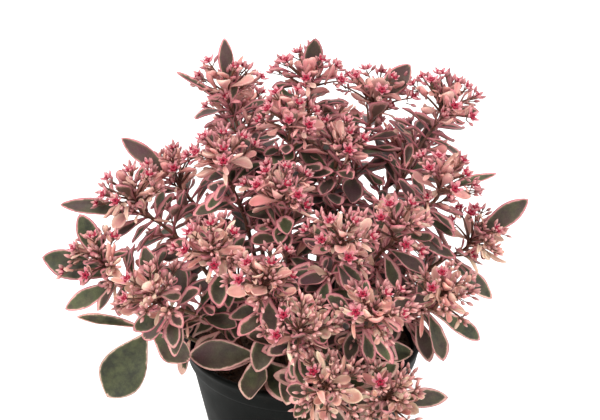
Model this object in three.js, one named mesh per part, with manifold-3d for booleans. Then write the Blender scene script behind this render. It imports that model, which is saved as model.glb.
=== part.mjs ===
// A variegated stonecrop in flower in a round black nursery pot.
// Millimetres, +Z up. The origin is the centre of the pot's foot, and -Y is the side that faces the viewer.
// Bearings run anticlockwise from +X as seen from above, so 270 points at the viewer.
import * as THREE from "three";
import { mergeVertices } from "three/addons/utils/BufferGeometryUtils.js";
import Module from "manifold-3d";

const wasm = await Module();
wasm.setup();
const { Manifold, Mesh: SolidMesh } = wasm;

// Driving dimensions. Each station of a leaf gives how far along it lies and how deep the keel is there.
const POT = { height: 115, rimRadius: 77, bandHeight: 14, bandStep: 1.8, footRadius: 54, wall: 1.6, floor: 2.4, sides: 28 };
const DRAIN = { count: 6, radius: 4.5, ring: 39, sides: 6 };
const SOIL = { top: 104, lump: 1.6, rings: 1, sides: 14, fit: 0.4, holeDepth: 9, holeFit: 1.1 };
const STEM = { rootRadius: 2, tipRadius: 1.2, sides: 4, steps: 5, bareSkin: 0.3 };
const LEAF = { peak: 1.35, bend: 0.5, freeFrom: 0.2, stations: [[0, 0], [0.3, 2.2], [0.76, 1.5], [1, 0]] };
const HEAD_LEAF = { ...LEAF, bend: 0.3, freeFrom: 0.5 };
const BRACT = { peak: 1.9, bend: 0.35, freeFrom: 0.5, stations: [[0, 0], [0.45, 1.5], [0.84, 1.2], [1, 0]] };
const HEAD = { core: 20, coreRadius: 3.2, coreSides: 5, spread: 20, rise: 27, droop: 14, rays: 11, bracts: 5 };
const FLOWER = { radius: 5.4, notch: 2.1, cup: 1.5, neck: 1.1 };
const BUD = { radius: 1.75, length: 6.4 };
const CLEARANCE = 0.6;
const GOLDEN_TURN = 137.508;

// One row for each flowering stem: bearing and reach of its head from the pot's axis, the head's height
// above the surface the pot stands on, and the size of the head. Those near bearing 90 grow at the back.
const FLOWERING_STEMS = [
  { bearing: 157, reach: 48, height: 264, size: 1.05 },
  { bearing: 83, reach: 31, height: 264, size: 1.15 },
  { bearing: 190, reach: 8, height: 250, size: 1.05 },
  { bearing: 35, reach: 53, height: 253, size: 1.2 },
  { bearing: 14, reach: 86, height: 252, size: 1.15 },
  { bearing: 204, reach: 50, height: 234, size: 1.05 },
  { bearing: 186, reach: 98, height: 205, size: 1.15 },
  { bearing: 199, reach: 122, height: 178, size: 1.15 },
  { bearing: 221, reach: 108, height: 173, size: 1.1 },
  { bearing: 253, reach: 41, height: 220, size: 1.1 },
  { bearing: 0, reach: 20, height: 231, size: 1.1 },
  { bearing: 346, reach: 82, height: 218, size: 1.15 },
  { bearing: 317, reach: 70, height: 202, size: 1.1 },
  { bearing: 358, reach: 101, height: 176, size: 1.05 },
  { bearing: 322, reach: 98, height: 166, size: 1.1 },
  { bearing: 257, reach: 90, height: 191, size: 1.1 },
  { bearing: 269, reach: 108, height: 171, size: 1.05 },
  { bearing: 276, reach: 118, height: 141, size: 1.1 },
  { bearing: 292, reach: 120, height: 131, size: 1.05 },
  { bearing: 286, reach: 76, height: 207, size: 1.1 },
  { bearing: 230, reach: 77, height: 195, size: 1.1 },
  { bearing: 290, reach: 108, height: 178, size: 1.1 },
  { bearing: 41, reach: 84, height: 205, size: 1.1 },
  { bearing: 115, reach: 94, height: 219, size: 1.1 },
  { bearing: 162, reach: 80, height: 203, size: 1.15 },
  { bearing: 80, reach: 118, height: 194, size: 1.15 },
];

// Leaves that stand out of the plant: the stem or shoot, counted from 1, and how far along it the leaf grows, or
// the head that it grows in, then where it points, its length and width, and how far its face leans to the viewer.
const MARKED_LEAVES = [
  { head: 1, bearing: 180, rise: 88, length: 36, width: 12, lean: 80 },
  { head: 2, bearing: 0, rise: 82, length: 32, width: 14, lean: 80 },
  { head: 4, bearing: 0, rise: 50, length: 34, width: 16, lean: 70 },
  { head: 8, bearing: 160, rise: 62, length: 36, width: 15, lean: 65 },
  { head: 9, bearing: 150, rise: 72, length: 34, width: 13, lean: 70 },
  { head: 14, bearing: 0, rise: 40, length: 46, width: 15, lean: 65 },
  { head: 25, bearing: 180, rise: 43, length: 46, width: 13, lean: 60 },
  { stem: 1, along: 0.96, bearing: 180, rise: 52, length: 44, width: 8, lean: 5 },
  { head: 5, bearing: 0, rise: 8, length: 24, width: 10, lean: 30 },
  { stem: 7, along: 0.97, bearing: 182, rise: 16, length: 57, width: 12, lean: 40 },
  { stem: 7, along: 0.48, bearing: 0, rise: 50, length: 28, width: 13, lean: 65 },
  { stem: 8, along: 0.96, bearing: 182, rise: 15, length: 51, width: 20, lean: 60 },
  { stem: 8, along: 0.9, bearing: 183, rise: -22, length: 50, width: 13, lean: 45 },
  { stem: 9, along: 0.96, bearing: 185, rise: -48, length: 32, width: 13, lean: 60 },
  { stem: 9, along: 0.38, bearing: 190, rise: 78, length: 34, width: 14, lean: 75 },
  { head: 12, bearing: 0, rise: 26, length: 37, width: 8, lean: 20 },
  { stem: 12, along: 0.86, bearing: 195, rise: -35, length: 28, width: 13, lean: 50 },
  { stem: 13, along: 0.76, bearing: 185, rise: -40, length: 28, width: 13, lean: 60 },
  { stem: 14, along: 0.88, bearing: 0, rise: -40, length: 48, width: 13, lean: 40 },
  { stem: 15, along: 0.96, bearing: 0, rise: -24, length: 44, width: 12, lean: 40 },
  { stem: 18, along: 0.6, bearing: 255, rise: -14, length: 32, width: 14, lean: 60 },
  { stem: 19, along: 0.92, bearing: 0, rise: 5, length: 46, width: 13, lean: 45 },
  { shoot: 1, along: 0.98, bearing: 228, rise: -40, length: 50, width: 31, lean: 68 },
  { shoot: 1, along: 0.98, bearing: 296, rise: -36, length: 32, width: 20, lean: 74 },
  { shoot: 1, along: 0.99, bearing: 180, rise: 27, length: 45, width: 9, lean: 30 },
  { shoot: 2, along: 0.92, bearing: 190, rise: 14, length: 46, width: 22, lean: 60 },
  { shoot: 2, along: 0.8, bearing: 222, rise: -2, length: 36, width: 15, lean: 50 },
  { shoot: 3, along: 0.95, bearing: 0, rise: 4, length: 33, width: 15, lean: 50 },
];

// Short shoots with no flowers that ring the crown, with broad green leaves.
const LEAFY_SHOOTS = [
  { bearing: 206, root: 50, reach: 106, height: 144, leaf: 24 },
  { bearing: 244, root: 50, reach: 58, height: 130, leaf: 38 },
  { bearing: 308, root: 50, reach: 60, height: 128, leaf: 36 },
  { bearing: 22, root: 50, reach: 56, height: 130, leaf: 32 },
  { bearing: 104, root: 50, reach: 60, height: 128, leaf: 36 },
];
const SHOOT_LEAVES = 6;

// Leaf pairs down each flowering stem: how far the first is below the head and the next below that, the lengths
// of their leaves, and how far down the stem the last may grow.
const LEAF_PAIRS = { first: 9, spacing: 23, lengths: [24, 30, 34, 36], lowest: 0.42 };

const radians = (degrees) => (degrees * Math.PI) / 180;
const vector = (x, y, z) => new THREE.Vector3(x, y, z);
const UP = vector(0, 0, 1);

// Numbers from 0 to 1 that come out the same on every run.
function randomFrom(seed) {
  let state = seed;
  return () => {
    state = (state * 16807) % 2147483647;
    return state / 2147483647;
  };
}

function pointing(bearing, rise) {
  const flat = Math.cos(radians(rise));
  return vector(flat * Math.cos(radians(bearing)), flat * Math.sin(radians(bearing)), Math.sin(radians(rise)));
}

// Moves from a by the steps given as pairs of direction and distance.
function shifted(start, ...steps) {
  const end = start.clone();
  for (const [direction, distance] of steps) end.addScaledVector(direction, distance);
  return end;
}

function mixed(a, b, share) {
  return a.clone().multiplyScalar(1 - share).addScaledVector(b, share).normalize();
}

// The direction nearest to wanted that is square to along.
function squareTo(along, wanted) {
  return wanted.clone().addScaledVector(along, -wanted.dot(along)).normalize();
}

// Solids
function toSolid(geometry) {
  geometry.deleteAttribute("normal");
  geometry.deleteAttribute("uv");
  const merged = mergeVertices(geometry);
  const mesh = new SolidMesh({
    numProp: 3,
    vertProperties: new Float32Array(merged.attributes.position.array),
    triVerts: new Uint32Array(merged.index.array),
  });
  return new Manifold(mesh);
}

function toGeometry(solid) {
  const mesh = solid.getMesh();
  const geometry = new THREE.BufferGeometry();
  geometry.setAttribute("position", new THREE.BufferAttribute(mesh.vertProperties, 3));
  geometry.setIndex(new THREE.BufferAttribute(mesh.triVerts, 1));
  geometry.computeVertexNormals();
  return geometry;
}

// A closed skin over rings of points, each ring anticlockwise about the way forward. A ring may be one point.
function loft(rings) {
  const positions = rings.flat().flatMap((p) => [p.x, p.y, p.z]);
  const starts = [];
  rings.reduce((count, ring) => (starts.push(count), count + ring.length), 0);
  const faces = [];
  for (let k = 0; k + 1 < rings.length; k++) {
    const [near, far] = [rings[k].length, rings[k + 1].length];
    const nearAt = (i) => starts[k] + (i % near);
    const farAt = (j) => starts[k + 1] + (j % far);
    const [nearSteps, farSteps] = [near > 1 ? near : 0, far > 1 ? far : 0];
    let [i, j] = [0, 0];
    while (i < nearSteps || j < farSteps) {
      const stepNear = j >= farSteps || (i < nearSteps && (i + 1) / nearSteps <= (j + 1) / farSteps);
      if (stepNear) faces.push(nearAt(i), nearAt(i + 1), farAt(j));
      else faces.push(nearAt(i), farAt(j + 1), farAt(j));
      if (stepNear) i++;
      else j++;
    }
  }
  const last = rings.length - 1;
  for (let i = 1; i + 1 < rings[0].length; i++) faces.push(starts[0], starts[0] + i + 1, starts[0] + i);
  for (let i = 1; i + 1 < rings[last].length; i++) faces.push(starts[last], starts[last] + i, starts[last] + i + 1);
  const geometry = new THREE.BufferGeometry();
  geometry.setAttribute("position", new THREE.Float32BufferAttribute(positions, 3));
  geometry.setIndex(faces);
  return toSolid(geometry);
}

function ringAround(centre, forward, radius, sides, turn = 0) {
  const across = squareTo(forward, Math.abs(forward.z) > 0.9 ? vector(1, 0, 0) : UP);
  const side = forward.clone().cross(across);
  return Array.from({ length: sides }, (_, i) => {
    const angle = turn + (2 * Math.PI * i) / sides;
    return shifted(centre, [across, radius * Math.cos(angle)], [side, radius * Math.sin(angle)]);
  });
}

// The biggest closed body of a union: sealed hollows come out filled and loose scraps are dropped.
function fuse(solids) {
  const bodies = Manifold.union(solids).decompose().filter((body) => body.volume() > 0);
  return bodies.sort((a, b) => b.volume() - a.volume())[0];
}

// The plan: routes, leaves and flowers as points and directions, before any solid is made
const taken = [];

function potWallAt(z) {
  const rise = Math.min(z, POT.height) / POT.height;
  return POT.footRadius + (POT.rimRadius - POT.footRadius) * rise;
}

function touchesPot([x, y, z, r]) {
  const radius = Math.hypot(x, y);
  if (z - r > POT.height + CLEARANCE) return false;
  if (radius - r > potWallAt(z) + CLEARANCE) return false;
  const inside = potWallAt(z) - POT.wall - POT.bandStep - CLEARANCE;
  return radius + r > inside || z - r < SOIL.top + SOIL.lump;
}

// True if the balls keep clear of the pot, the soil and all other balls but those of their own stem or hub.
function isClear(balls, owner) {
  if (balls.some(touchesPot)) return false;
  for (const [x, y, z, r] of balls)
    for (const other of taken) {
      if (other.core === owner) continue;
      const reach = r + other.r + CLEARANCE;
      const [dx, dy, dz] = [x - other.x, y - other.y, z - other.z];
      if (dx * dx + dy * dy + dz * dz < reach * reach) return false;
    }
  return true;
}

// Keeps balls as taken. Those of a stem or hub name it as core, because its own leaves and flowers sink into it.
function take(balls, core) {
  for (const [x, y, z, r] of balls) taken.push({ x, y, z, r, core });
}

const ballAt = (p, r) => [p.x, p.y, p.z, r];

function ballsAlong(start, end, radius, count) {
  return Array.from({ length: count }, (_, i) => ballAt(start.clone().lerp(end, (i + 1) / count), radius));
}

// A stem's route: up from the soil, then leaning out to where it ends.
function stemRoute({ bearing, reach, height, root: rootReach = 6 + 0.32 * reach }) {
  const out = pointing(bearing, 0);
  const rise = height - SOIL.top;
  const root = shifted(out.clone().multiplyScalar(rootReach), [UP, SOIL.top - SOIL.holeDepth + 1]);
  const knee = shifted(out.clone().multiplyScalar(rootReach + 0.32 * (reach - rootReach)), [UP, SOIL.top + 0.72 * rise]);
  const tip = shifted(out.clone().multiplyScalar(reach), [UP, height]);
  return new THREE.QuadraticBezierCurve3(root, knee, tip);
}

// A thin arched blade: a point on its middle line, its side and its upper face's direction, at t from 0 to 1.
function bladeFrame(blade, t) {
  const turn = blade.bend * t;
  const forward = shifted(vector(0, 0, 0), [blade.direction, Math.cos(turn)], [blade.face, -Math.sin(turn)]);
  const face = shifted(vector(0, 0, 0), [blade.face, Math.cos(turn)], [blade.direction, Math.sin(turn)]);
  const ahead = (blade.length * Math.sin(turn)) / blade.bend;
  const down = (-blade.length * (1 - Math.cos(turn))) / blade.bend;
  const point = shifted(blade.root, [blade.direction, ahead], [blade.face, down]);
  return { point, forward, face, side: face.clone().cross(forward) };
}

function bladeHalfWidth(blade, t) {
  const swell = Math.max(0, Math.sin(Math.PI * Math.pow(t, blade.form.peak)));
  return (blade.width / 2) * Math.pow(swell, 0.8);
}

function bladeBalls(blade) {
  const balls = [];
  const rows = Math.ceil((blade.length * (1 - blade.form.freeFrom)) / 3.6);
  for (let i = 0; i <= rows; i++) {
    const t = blade.form.freeFrom + ((1 - blade.form.freeFrom) * i) / rows;
    const { point, side, face } = bladeFrame(blade, t);
    const half = Math.max(0, bladeHalfWidth(blade, t) - 0.8);
    const middle = shifted(point, [face, -0.7]);
    const columns = Math.ceil(half / 2);
    for (let j = -columns; j <= columns; j++)
      balls.push(ballAt(shifted(middle, [side, columns === 0 ? 0 : (half * j) / columns]), 1.4));
  }
  return balls;
}

// Tries a blade as wished, then turned, tilted and shortened, and keeps the first that is clear.
function placeBlade(owner, form, root, wish) {
  for (const shrink of [1, 0.85, 0.7])
    for (const [turn, tilt] of [[0, 0], [14, 0], [-14, 0], [0, 14], [0, -14], [28, 8], [-28, 8], [45, -6], [-45, -6]]) {
      const direction = wish.towards(turn, tilt);
      const face = squareTo(direction, wish.face);
      const size = { length: wish.length * shrink, width: wish.width * shrink };
      const blade = { form, root, direction, face, bend: form.bend, ...size };
      const balls = bladeBalls(blade);
      if (!isClear(balls, owner)) continue;
      take(balls);
      return blade;
    }
  return null;
}

function leafAtBearing(owner, form, root, mark) {
  const leanFace = vector(0, -Math.sin(radians(mark.lean)), Math.cos(radians(mark.lean)));
  return placeBlade(owner, form, root, {
    towards: (turn, tilt) => pointing(mark.bearing + turn, mark.rise + tilt),
    face: leanFace,
    length: mark.length,
    width: mark.width,
  });
}

function leafAroundStem(owner, route, along, around, tiltFromStem, length, width) {
  const root = route.getPoint(along);
  const forward = route.getTangent(along);
  const across = squareTo(forward, vector(0.3, 0.2, 1));
  const side = forward.clone().cross(across);
  return placeBlade(owner, LEAF, root, {
    towards: (turn, tilt) => {
      const angle = radians(around + turn);
      const open = radians(tiltFromStem + tilt);
      const outward = shifted(vector(0, 0, 0), [across, Math.cos(angle)], [side, Math.sin(angle)]);
      return shifted(vector(0, 0, 0), [forward, Math.cos(open)], [outward, Math.sin(open)]);
    },
    face: mixed(forward, UP, 0.45),
    length,
    width,
  });
}

// A head with only its core, which stands on the stem's end and leans a little less than the stem does. The
// higher a head stands, the more of its buds are open.
function startHead(stem, index) {
  const owner = "head" + index;
  const forward = stem.route.getTangent(1);
  const axis = mixed(forward, UP, 0.55);
  const base = shifted(stem.route.getPoint(1), [forward, STEM.bareSkin]);
  const swell = [[0.1, 0.6], [0.35, 0.9], [0.6, 1.1], [0.85, 0.6]];
  take(swell.map(([along, share]) => ballAt(shifted(base, [axis, along * HEAD.core]), share * HEAD.coreRadius)), owner);
  const open = Math.min(4, Math.max(1, Math.round((stem.height - 90) / 42)));
  return { owner, base, forward, axis, size: stem.size, open, flowers: [], buds: [], bracts: [] };
}

function fillHead(head, index) {
  const { owner, base, axis } = head;
  const random = randomFrom(7001 + 97 * index);
  const across = squareTo(axis, vector(1, 0.2, 0.1));
  const side = axis.clone().cross(across);
  const outward = (angle) => shifted(vector(0, 0, 0), [across, Math.cos(radians(angle))], [side, Math.sin(radians(angle))]);
  for (let k = 0; k < HEAD.bracts; k++) {
    const [lengthDraw, openDraw, depth] = [random(), random(), random()];
    const length = 17 + 8 * lengthDraw;
    const open = k % 2 === 0 ? 60 + 20 * openDraw : 20 + 20 * openDraw;
    const root = shifted(base, [axis, HEAD.core * (0.12 + 0.11 * k + 0.1 * depth)]);
    const bract = placeBlade(owner, BRACT, root, {
      towards: (turn, tilt) => {
        const wide = radians(open + tilt);
        return shifted(vector(0, 0, 0), [axis, Math.cos(wide)], [outward(35 + (k * 360) / HEAD.bracts + turn), Math.sin(wide)]);
      },
      face: axis,
      length,
      width: length * 0.5,
    });
    if (bract) head.bracts.push(bract);
  }
  for (let k = 0; k < HEAD.rays; k++) {
    const [depth, lift, jitter] = [random(), random(), random()];
    const isFlower = k % 3 === 1 && head.flowers.length < head.open;
    const share = Math.sqrt((k + 0.6) / HEAD.rays);
    const root = shifted(base, [axis, HEAD.core * (0.72 - 0.5 * share + 0.12 * depth)]);
    for (const turn of [0, 18, -18, 36]) {
      const around = outward(k * GOLDEN_TURN + 30 * jitter + turn);
      const radius = HEAD.spread * head.size * share;
      const height = HEAD.rise + 5 * lift - HEAD.droop * share * share;
      const tip = shifted(base, [axis, height], [around, radius]);
      const facing = mixed(tip.clone().sub(root).normalize(), axis, isFlower ? 0.4 : 0.2);
      const size = isFlower ? FLOWER.radius - 1 : BUD.radius;
      const centre = shifted(tip, [facing, isFlower ? 1.6 : 2.6]);
      const balls = [...ballsAlong(root, tip, 0.7, 6).slice(3), ballAt(centre, size)];
      if (!isFlower) balls.push(ballAt(shifted(tip, [facing, 5.2]), 0.9));
      if (!isClear(balls, owner)) continue;
      take(balls);
      (isFlower ? head.flowers : head.buds).push({ root, tip, facing });
      break;
    }
  }
}

function placeMarkedLeaf(mark, { stems, shoots, heads }) {
  if (mark.head) {
    const { owner, base, axis, bracts } = heads[mark.head - 1];
    const leaf = leafAtBearing(owner, HEAD_LEAF, shifted(base, [axis, HEAD.core * 0.35]), mark);
    if (leaf) bracts.push(leaf);
    return;
  }
  const carrier = mark.stem ? stems[mark.stem - 1] : shoots[mark.shoot - 1];
  const owner = mark.stem ? "stem" + (mark.stem - 1) : "shoot" + (mark.shoot - 1);
  const leaf = leafAtBearing(owner, LEAF, carrier.route.getPoint(mark.along), mark);
  if (leaf) carrier.leaves.push(leaf);
}

function planPlant() {
  const stems = FLOWERING_STEMS.map((row) => ({ ...row, route: stemRoute(row), leaves: [] }));
  const shoots = LEAFY_SHOOTS.map((row) => ({ ...row, route: stemRoute(row), leaves: [] }));
  const standing = [...stems.map((s, i) => [s, "stem" + i]), ...shoots.map((s, i) => [s, "shoot" + i])];
  for (const [stem, owner] of standing)
    for (let i = 0; i <= 40; i++) take([ballAt(stem.route.getPoint(i / 40), 1.8)], owner);
  const heads = stems.map(startHead);
  for (const mark of MARKED_LEAVES) placeMarkedLeaf(mark, { stems, shoots, heads });
  heads.forEach(fillHead);
  stems.forEach((stem, index) => {
    const random = randomFrom(3001 + 89 * index);
    const stemLength = stem.route.getPoint(0).distanceTo(stem.route.getPoint(1));
    LEAF_PAIRS.lengths.forEach((pairLength, level) => {
      const along = 1 - (LEAF_PAIRS.first + LEAF_PAIRS.spacing * level) / stemLength;
      if (along < LEAF_PAIRS.lowest) return;
      for (const half of [0, 1]) {
        const [turn, open, grow] = [random(), random(), random()];
        const around = 90 * level + 180 * half + 40 * turn;
        const length = pairLength * (0.85 + 0.3 * grow);
        const leaf = leafAroundStem("stem" + index, stem.route, along, around, 52 + 26 * open, length, length * 0.46);
        if (leaf) stem.leaves.push(leaf);
      }
    });
  });
  shoots.forEach((shoot, index) => {
    const random = randomFrom(5003 + 83 * index);
    for (let k = 0; k < SHOOT_LEAVES; k++) {
      const [turn, open] = [random(), random()];
      const level = Math.floor(k / 2);
      const around = 90 * level + 180 * (k % 2) + 30 * turn;
      const tilt = 40 + 20 * level + 12 * open;
      const leaf = leafAroundStem("shoot" + index, shoot.route, 0.98 - 0.2 * level, around, tilt, shoot.leaf, shoot.leaf * 0.56);
      if (leaf) shoot.leaves.push(leaf);
    }
  });
  return { stems, heads, shoots };
}

// Pieces
function potSolid() {
  const wallAt = (z) => potWallAt(z) - POT.bandStep;
  const bandFoot = POT.height - POT.bandHeight;
  const lip = 1.2;
  const profile = [
    [0, 0],
    [POT.footRadius - POT.bandStep - 2, 0],
    [wallAt(2.5), 2.5],
    [wallAt(bandFoot), bandFoot],
    [potWallAt(bandFoot), bandFoot + 1],
    [POT.rimRadius, POT.height - lip],
    [POT.rimRadius - lip, POT.height],
    [wallAt(POT.height) - POT.wall, POT.height],
    [wallAt(POT.floor) - POT.wall, POT.floor],
    [0, POT.floor],
  ];
  const turned = new THREE.LatheGeometry(profile.map(([r, z]) => new THREE.Vector2(r, z)), POT.sides);
  turned.rotateX(Math.PI / 2);
  const shell = toSolid(turned);
  const holes = Array.from({ length: DRAIN.count }, (_, i) => {
    const bearing = (360 * (i + 0.5)) / DRAIN.count;
    const hole = new THREE.CylinderGeometry(DRAIN.radius, DRAIN.radius, 4 * POT.floor, DRAIN.sides);
    hole.rotateX(Math.PI / 2);
    const centre = pointing(bearing, 0).multiplyScalar(DRAIN.ring);
    hole.translate(centre.x, centre.y, 0);
    return toSolid(hole);
  });
  return shell.subtract(Manifold.union(holes));
}

// How far the soil's surface stands above its mean, a few long waves across each other.
function soilLump(x, y) {
  return SOIL.lump * 0.5 * (Math.sin(x * 0.21 + 1.3) * Math.cos(y * 0.17) + Math.sin(y * 0.29 + x * 0.11));
}

function soilSolid(roots) {
  const innerAt = (z) => potWallAt(z) - POT.bandStep - POT.wall - SOIL.fit;
  const bottom = POT.floor + SOIL.fit;
  const ring = (radius, z) =>
    Array.from({ length: SOIL.sides }, (_, i) => {
      const out = pointing((360 * i) / SOIL.sides, 0);
      const level = z ?? SOIL.top + soilLump(out.x * radius, out.y * radius);
      return shifted(out.multiplyScalar(radius), [UP, level]);
    });
  const edge = innerAt(SOIL.top) - 0.5;
  const rings = [ring(innerAt(bottom) - 0.5, bottom), ring(edge, null)];
  for (let k = SOIL.rings - 1; k > 0; k--) rings.push(ring((edge * k) / SOIL.rings, null));
  rings.push([vector(0, 0, SOIL.top + soilLump(0, 0))]);
  const holes = roots.map(({ route }) => {
    const low = shifted(route.getPoint(0), [route.getTangent(0), -1.2]);
    const forward = route.getTangent(0);
    const radius = STEM.rootRadius + SOIL.holeFit;
    const high = shifted(low, [forward, 2.2 * SOIL.holeDepth]);
    return loft([ringAround(low, forward, radius, STEM.sides), ringAround(high, forward, radius, STEM.sides)]);
  });
  return loft(rings).subtract(Manifold.union(holes));
}

function bladeSolid(blade) {
  const rings = blade.form.stations.map(([t, keel]) => {
    const { point, face, side } = bladeFrame(blade, t);
    const half = bladeHalfWidth(blade, t);
    if (keel === 0) return [point];
    return [shifted(point, [side, half]), shifted(point, [side, -half]), shifted(point, [face, -keel])];
  });
  return loft(rings);
}

function stemSolid({ route, leaves }) {
  const rings = Array.from({ length: STEM.steps + 1 }, (_, i) => {
    const t = i / STEM.steps;
    const radius = STEM.rootRadius + (STEM.tipRadius - STEM.rootRadius) * t;
    return ringAround(route.getPoint(t), route.getTangent(t), radius, STEM.sides);
  });
  return fuse([loft(rings), ...leaves.map(bladeSolid)]);
}

function flowerSolid({ root, tip, facing }) {
  const stalk = tip.clone().sub(root).normalize();
  const star = Array.from({ length: 10 }, (_, i) => (i % 2 === 0 ? FLOWER.radius : FLOWER.notch));
  const ring = ringAround(shifted(tip, [facing, 1.3]), facing, 1, 10);
  const centre = shifted(tip, [facing, 1.3]);
  const outline = ring.map((p, i) => {
    const outward = p.sub(centre).normalize();
    return shifted(centre, [outward, star[i]], [facing, i % 2 === 0 ? FLOWER.cup : 0]);
  });
  const neck = ringAround(tip, mixed(stalk, facing, 0.5), FLOWER.neck, 3);
  return loft([[root], neck, outline, [shifted(centre, [facing, 1.2])]]);
}

function budSolid({ root, tip, facing }) {
  const middle = ringAround(shifted(tip, [facing, 0.4 * BUD.length]), facing, BUD.radius, 3);
  return loft([[root], middle, [shifted(tip, [facing, BUD.length])]]);
}

// A small core that swells from the stem's end, with the flowers, buds and bracts standing out of it.
function headSolid(head) {
  const core = loft([
    ringAround(head.base, head.forward, STEM.tipRadius, STEM.sides),
    ringAround(shifted(head.base, [head.axis, 0.6 * HEAD.core]), head.axis, HEAD.coreRadius, HEAD.coreSides),
    [shifted(head.base, [head.axis, HEAD.core])],
  ]);
  return fuse([core, ...head.flowers.map(flowerSolid), ...head.buds.map(budSolid), ...head.bracts.map(bladeSolid)]);
}

const FINISH = {
  pot: { color: 0x1b2120, roughness: 0.5 },
  soil: { color: 0x35261d, roughness: 1 },
  stem: { color: 0x5b5a45, roughness: 0.55 },
  flowers: { color: 0xd98a8c, roughness: 0.6 },
};

const plant = planPlant();
const potted = new THREE.Group();

function add(name, solid, finish) {
  const material = new THREE.MeshStandardMaterial({ ...FINISH[finish], metalness: 0, flatShading: true });
  const mesh = new THREE.Mesh(toGeometry(solid), material);
  mesh.name = name;
  potted.add(mesh);
}

const numbered = (name, index) => name + "_" + String(index + 1).padStart(2, "0");
add("pot", potSolid(), "pot");
add("potting_soil", soilSolid([...plant.stems, ...plant.shoots]), "soil");
plant.stems.forEach((stem, i) => add(numbered("leafy_stem", i), stemSolid(stem), "stem"));
plant.shoots.forEach((shoot, i) => add(numbered("leafy_shoot", i), stemSolid(shoot), "stem"));
plant.heads.forEach((head, i) => add(numbered("flower_head", i), headSolid(head), "flowers"));

export default potted;
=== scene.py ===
# Variegated stonecrop in flower, in a round black nursery pot.
# The growth plan is worked in millimetres, and every mesh is made in metres.
import math
import random
import bpy
import numpy as np
from mathutils import Matrix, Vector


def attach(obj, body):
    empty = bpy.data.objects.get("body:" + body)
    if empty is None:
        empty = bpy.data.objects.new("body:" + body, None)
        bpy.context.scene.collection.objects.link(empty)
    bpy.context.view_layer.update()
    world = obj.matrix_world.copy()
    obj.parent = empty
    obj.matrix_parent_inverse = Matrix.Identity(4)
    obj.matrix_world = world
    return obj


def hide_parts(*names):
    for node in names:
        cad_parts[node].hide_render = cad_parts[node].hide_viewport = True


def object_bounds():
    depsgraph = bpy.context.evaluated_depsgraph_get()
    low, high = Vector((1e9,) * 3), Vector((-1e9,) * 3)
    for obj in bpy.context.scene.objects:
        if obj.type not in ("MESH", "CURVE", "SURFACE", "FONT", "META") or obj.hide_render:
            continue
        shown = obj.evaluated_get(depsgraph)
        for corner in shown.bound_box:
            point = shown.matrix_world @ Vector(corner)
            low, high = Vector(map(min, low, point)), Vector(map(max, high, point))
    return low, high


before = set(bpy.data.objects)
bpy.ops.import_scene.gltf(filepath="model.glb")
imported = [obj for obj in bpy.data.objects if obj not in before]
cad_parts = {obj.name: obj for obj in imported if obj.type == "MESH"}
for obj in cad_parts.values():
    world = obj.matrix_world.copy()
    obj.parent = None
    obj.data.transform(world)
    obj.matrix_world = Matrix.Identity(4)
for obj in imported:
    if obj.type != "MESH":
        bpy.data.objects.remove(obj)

cadBox = [[float(n) for n in corner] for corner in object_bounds()]
metre = 0.001  # one millimetre
boxRoom = 0.3  # how far inside that box the dressed plant stays, in mm
boxLow, boxHigh = np.array(cadBox[0]) / metre + boxRoom, np.array(cadBox[1]) / metre - boxRoom


# Small helpers

def vec(x, y, z):
    return np.array([x, y, z], float)


def unit(v):
    return v / math.sqrt(float(v @ v))


up = vec(0, 0, 1)


def pointing(bearing, rise):
    b, r = math.radians(bearing), math.radians(rise)
    return vec(math.cos(r) * math.cos(b), math.cos(r) * math.sin(b), math.sin(r))


def mixed(a, b, share):
    return unit(a * (1 - share) + b * share)


def squareTo(along, wanted):
    return unit(wanted - along * float(wanted @ along))


def turned(across, side, degrees):  # a direction between two square ones
    angle = math.radians(degrees)
    return across * math.cos(angle) + side * math.sin(angle)


def within(span, share):
    return span[0] + (span[1] - span[0]) * share


def drawsFrom(seed):  # numbers from 0 to 1, the same on every run
    state = [seed]

    def draw():
        state[0] = (state[0] * 16807) % 2147483647
        return state[0] / 2147483647
    return draw


def linear(hexColour):  # screen colour to the colour that the shader works in
    parts = [int(hexColour[i:i + 2], 16) / 255 for i in (1, 3, 5)]
    return [c / 12.92 if c <= 0.04045 else ((c + 0.055) / 1.055) ** 2.4 for c in parts] + [1.0]


# How the plant grows: the same stems, leaves and flowers as the solid model has

potPlan = {"height": 115, "rimRadius": 77, "bandHeight": 14, "bandStep": 1.8, "footRadius": 54, "wall": 1.6,
           "floor": 2.4}
soilPlan = {"top": 104, "lump": 1.6, "holeDepth": 9}
leafPlan = {"peak": 1.35, "bend": 0.5, "freeFrom": 0.2}
headLeafPlan = {"peak": 1.35, "bend": 0.3, "freeFrom": 0.5}
bractPlan = {"peak": 1.9, "bend": 0.35, "freeFrom": 0.5}
headPlan = {"core": 20, "coreRadius": 3.2, "spread": 20, "rise": 27, "droop": 14, "rays": 11, "bracts": 5}
flowerPlan = {"radius": 5.4}
budPlan = {"radius": 1.75, "length": 6.4}
bareSkin = 0.3
clearance = 0.6
goldenTurn = 137.508

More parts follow.
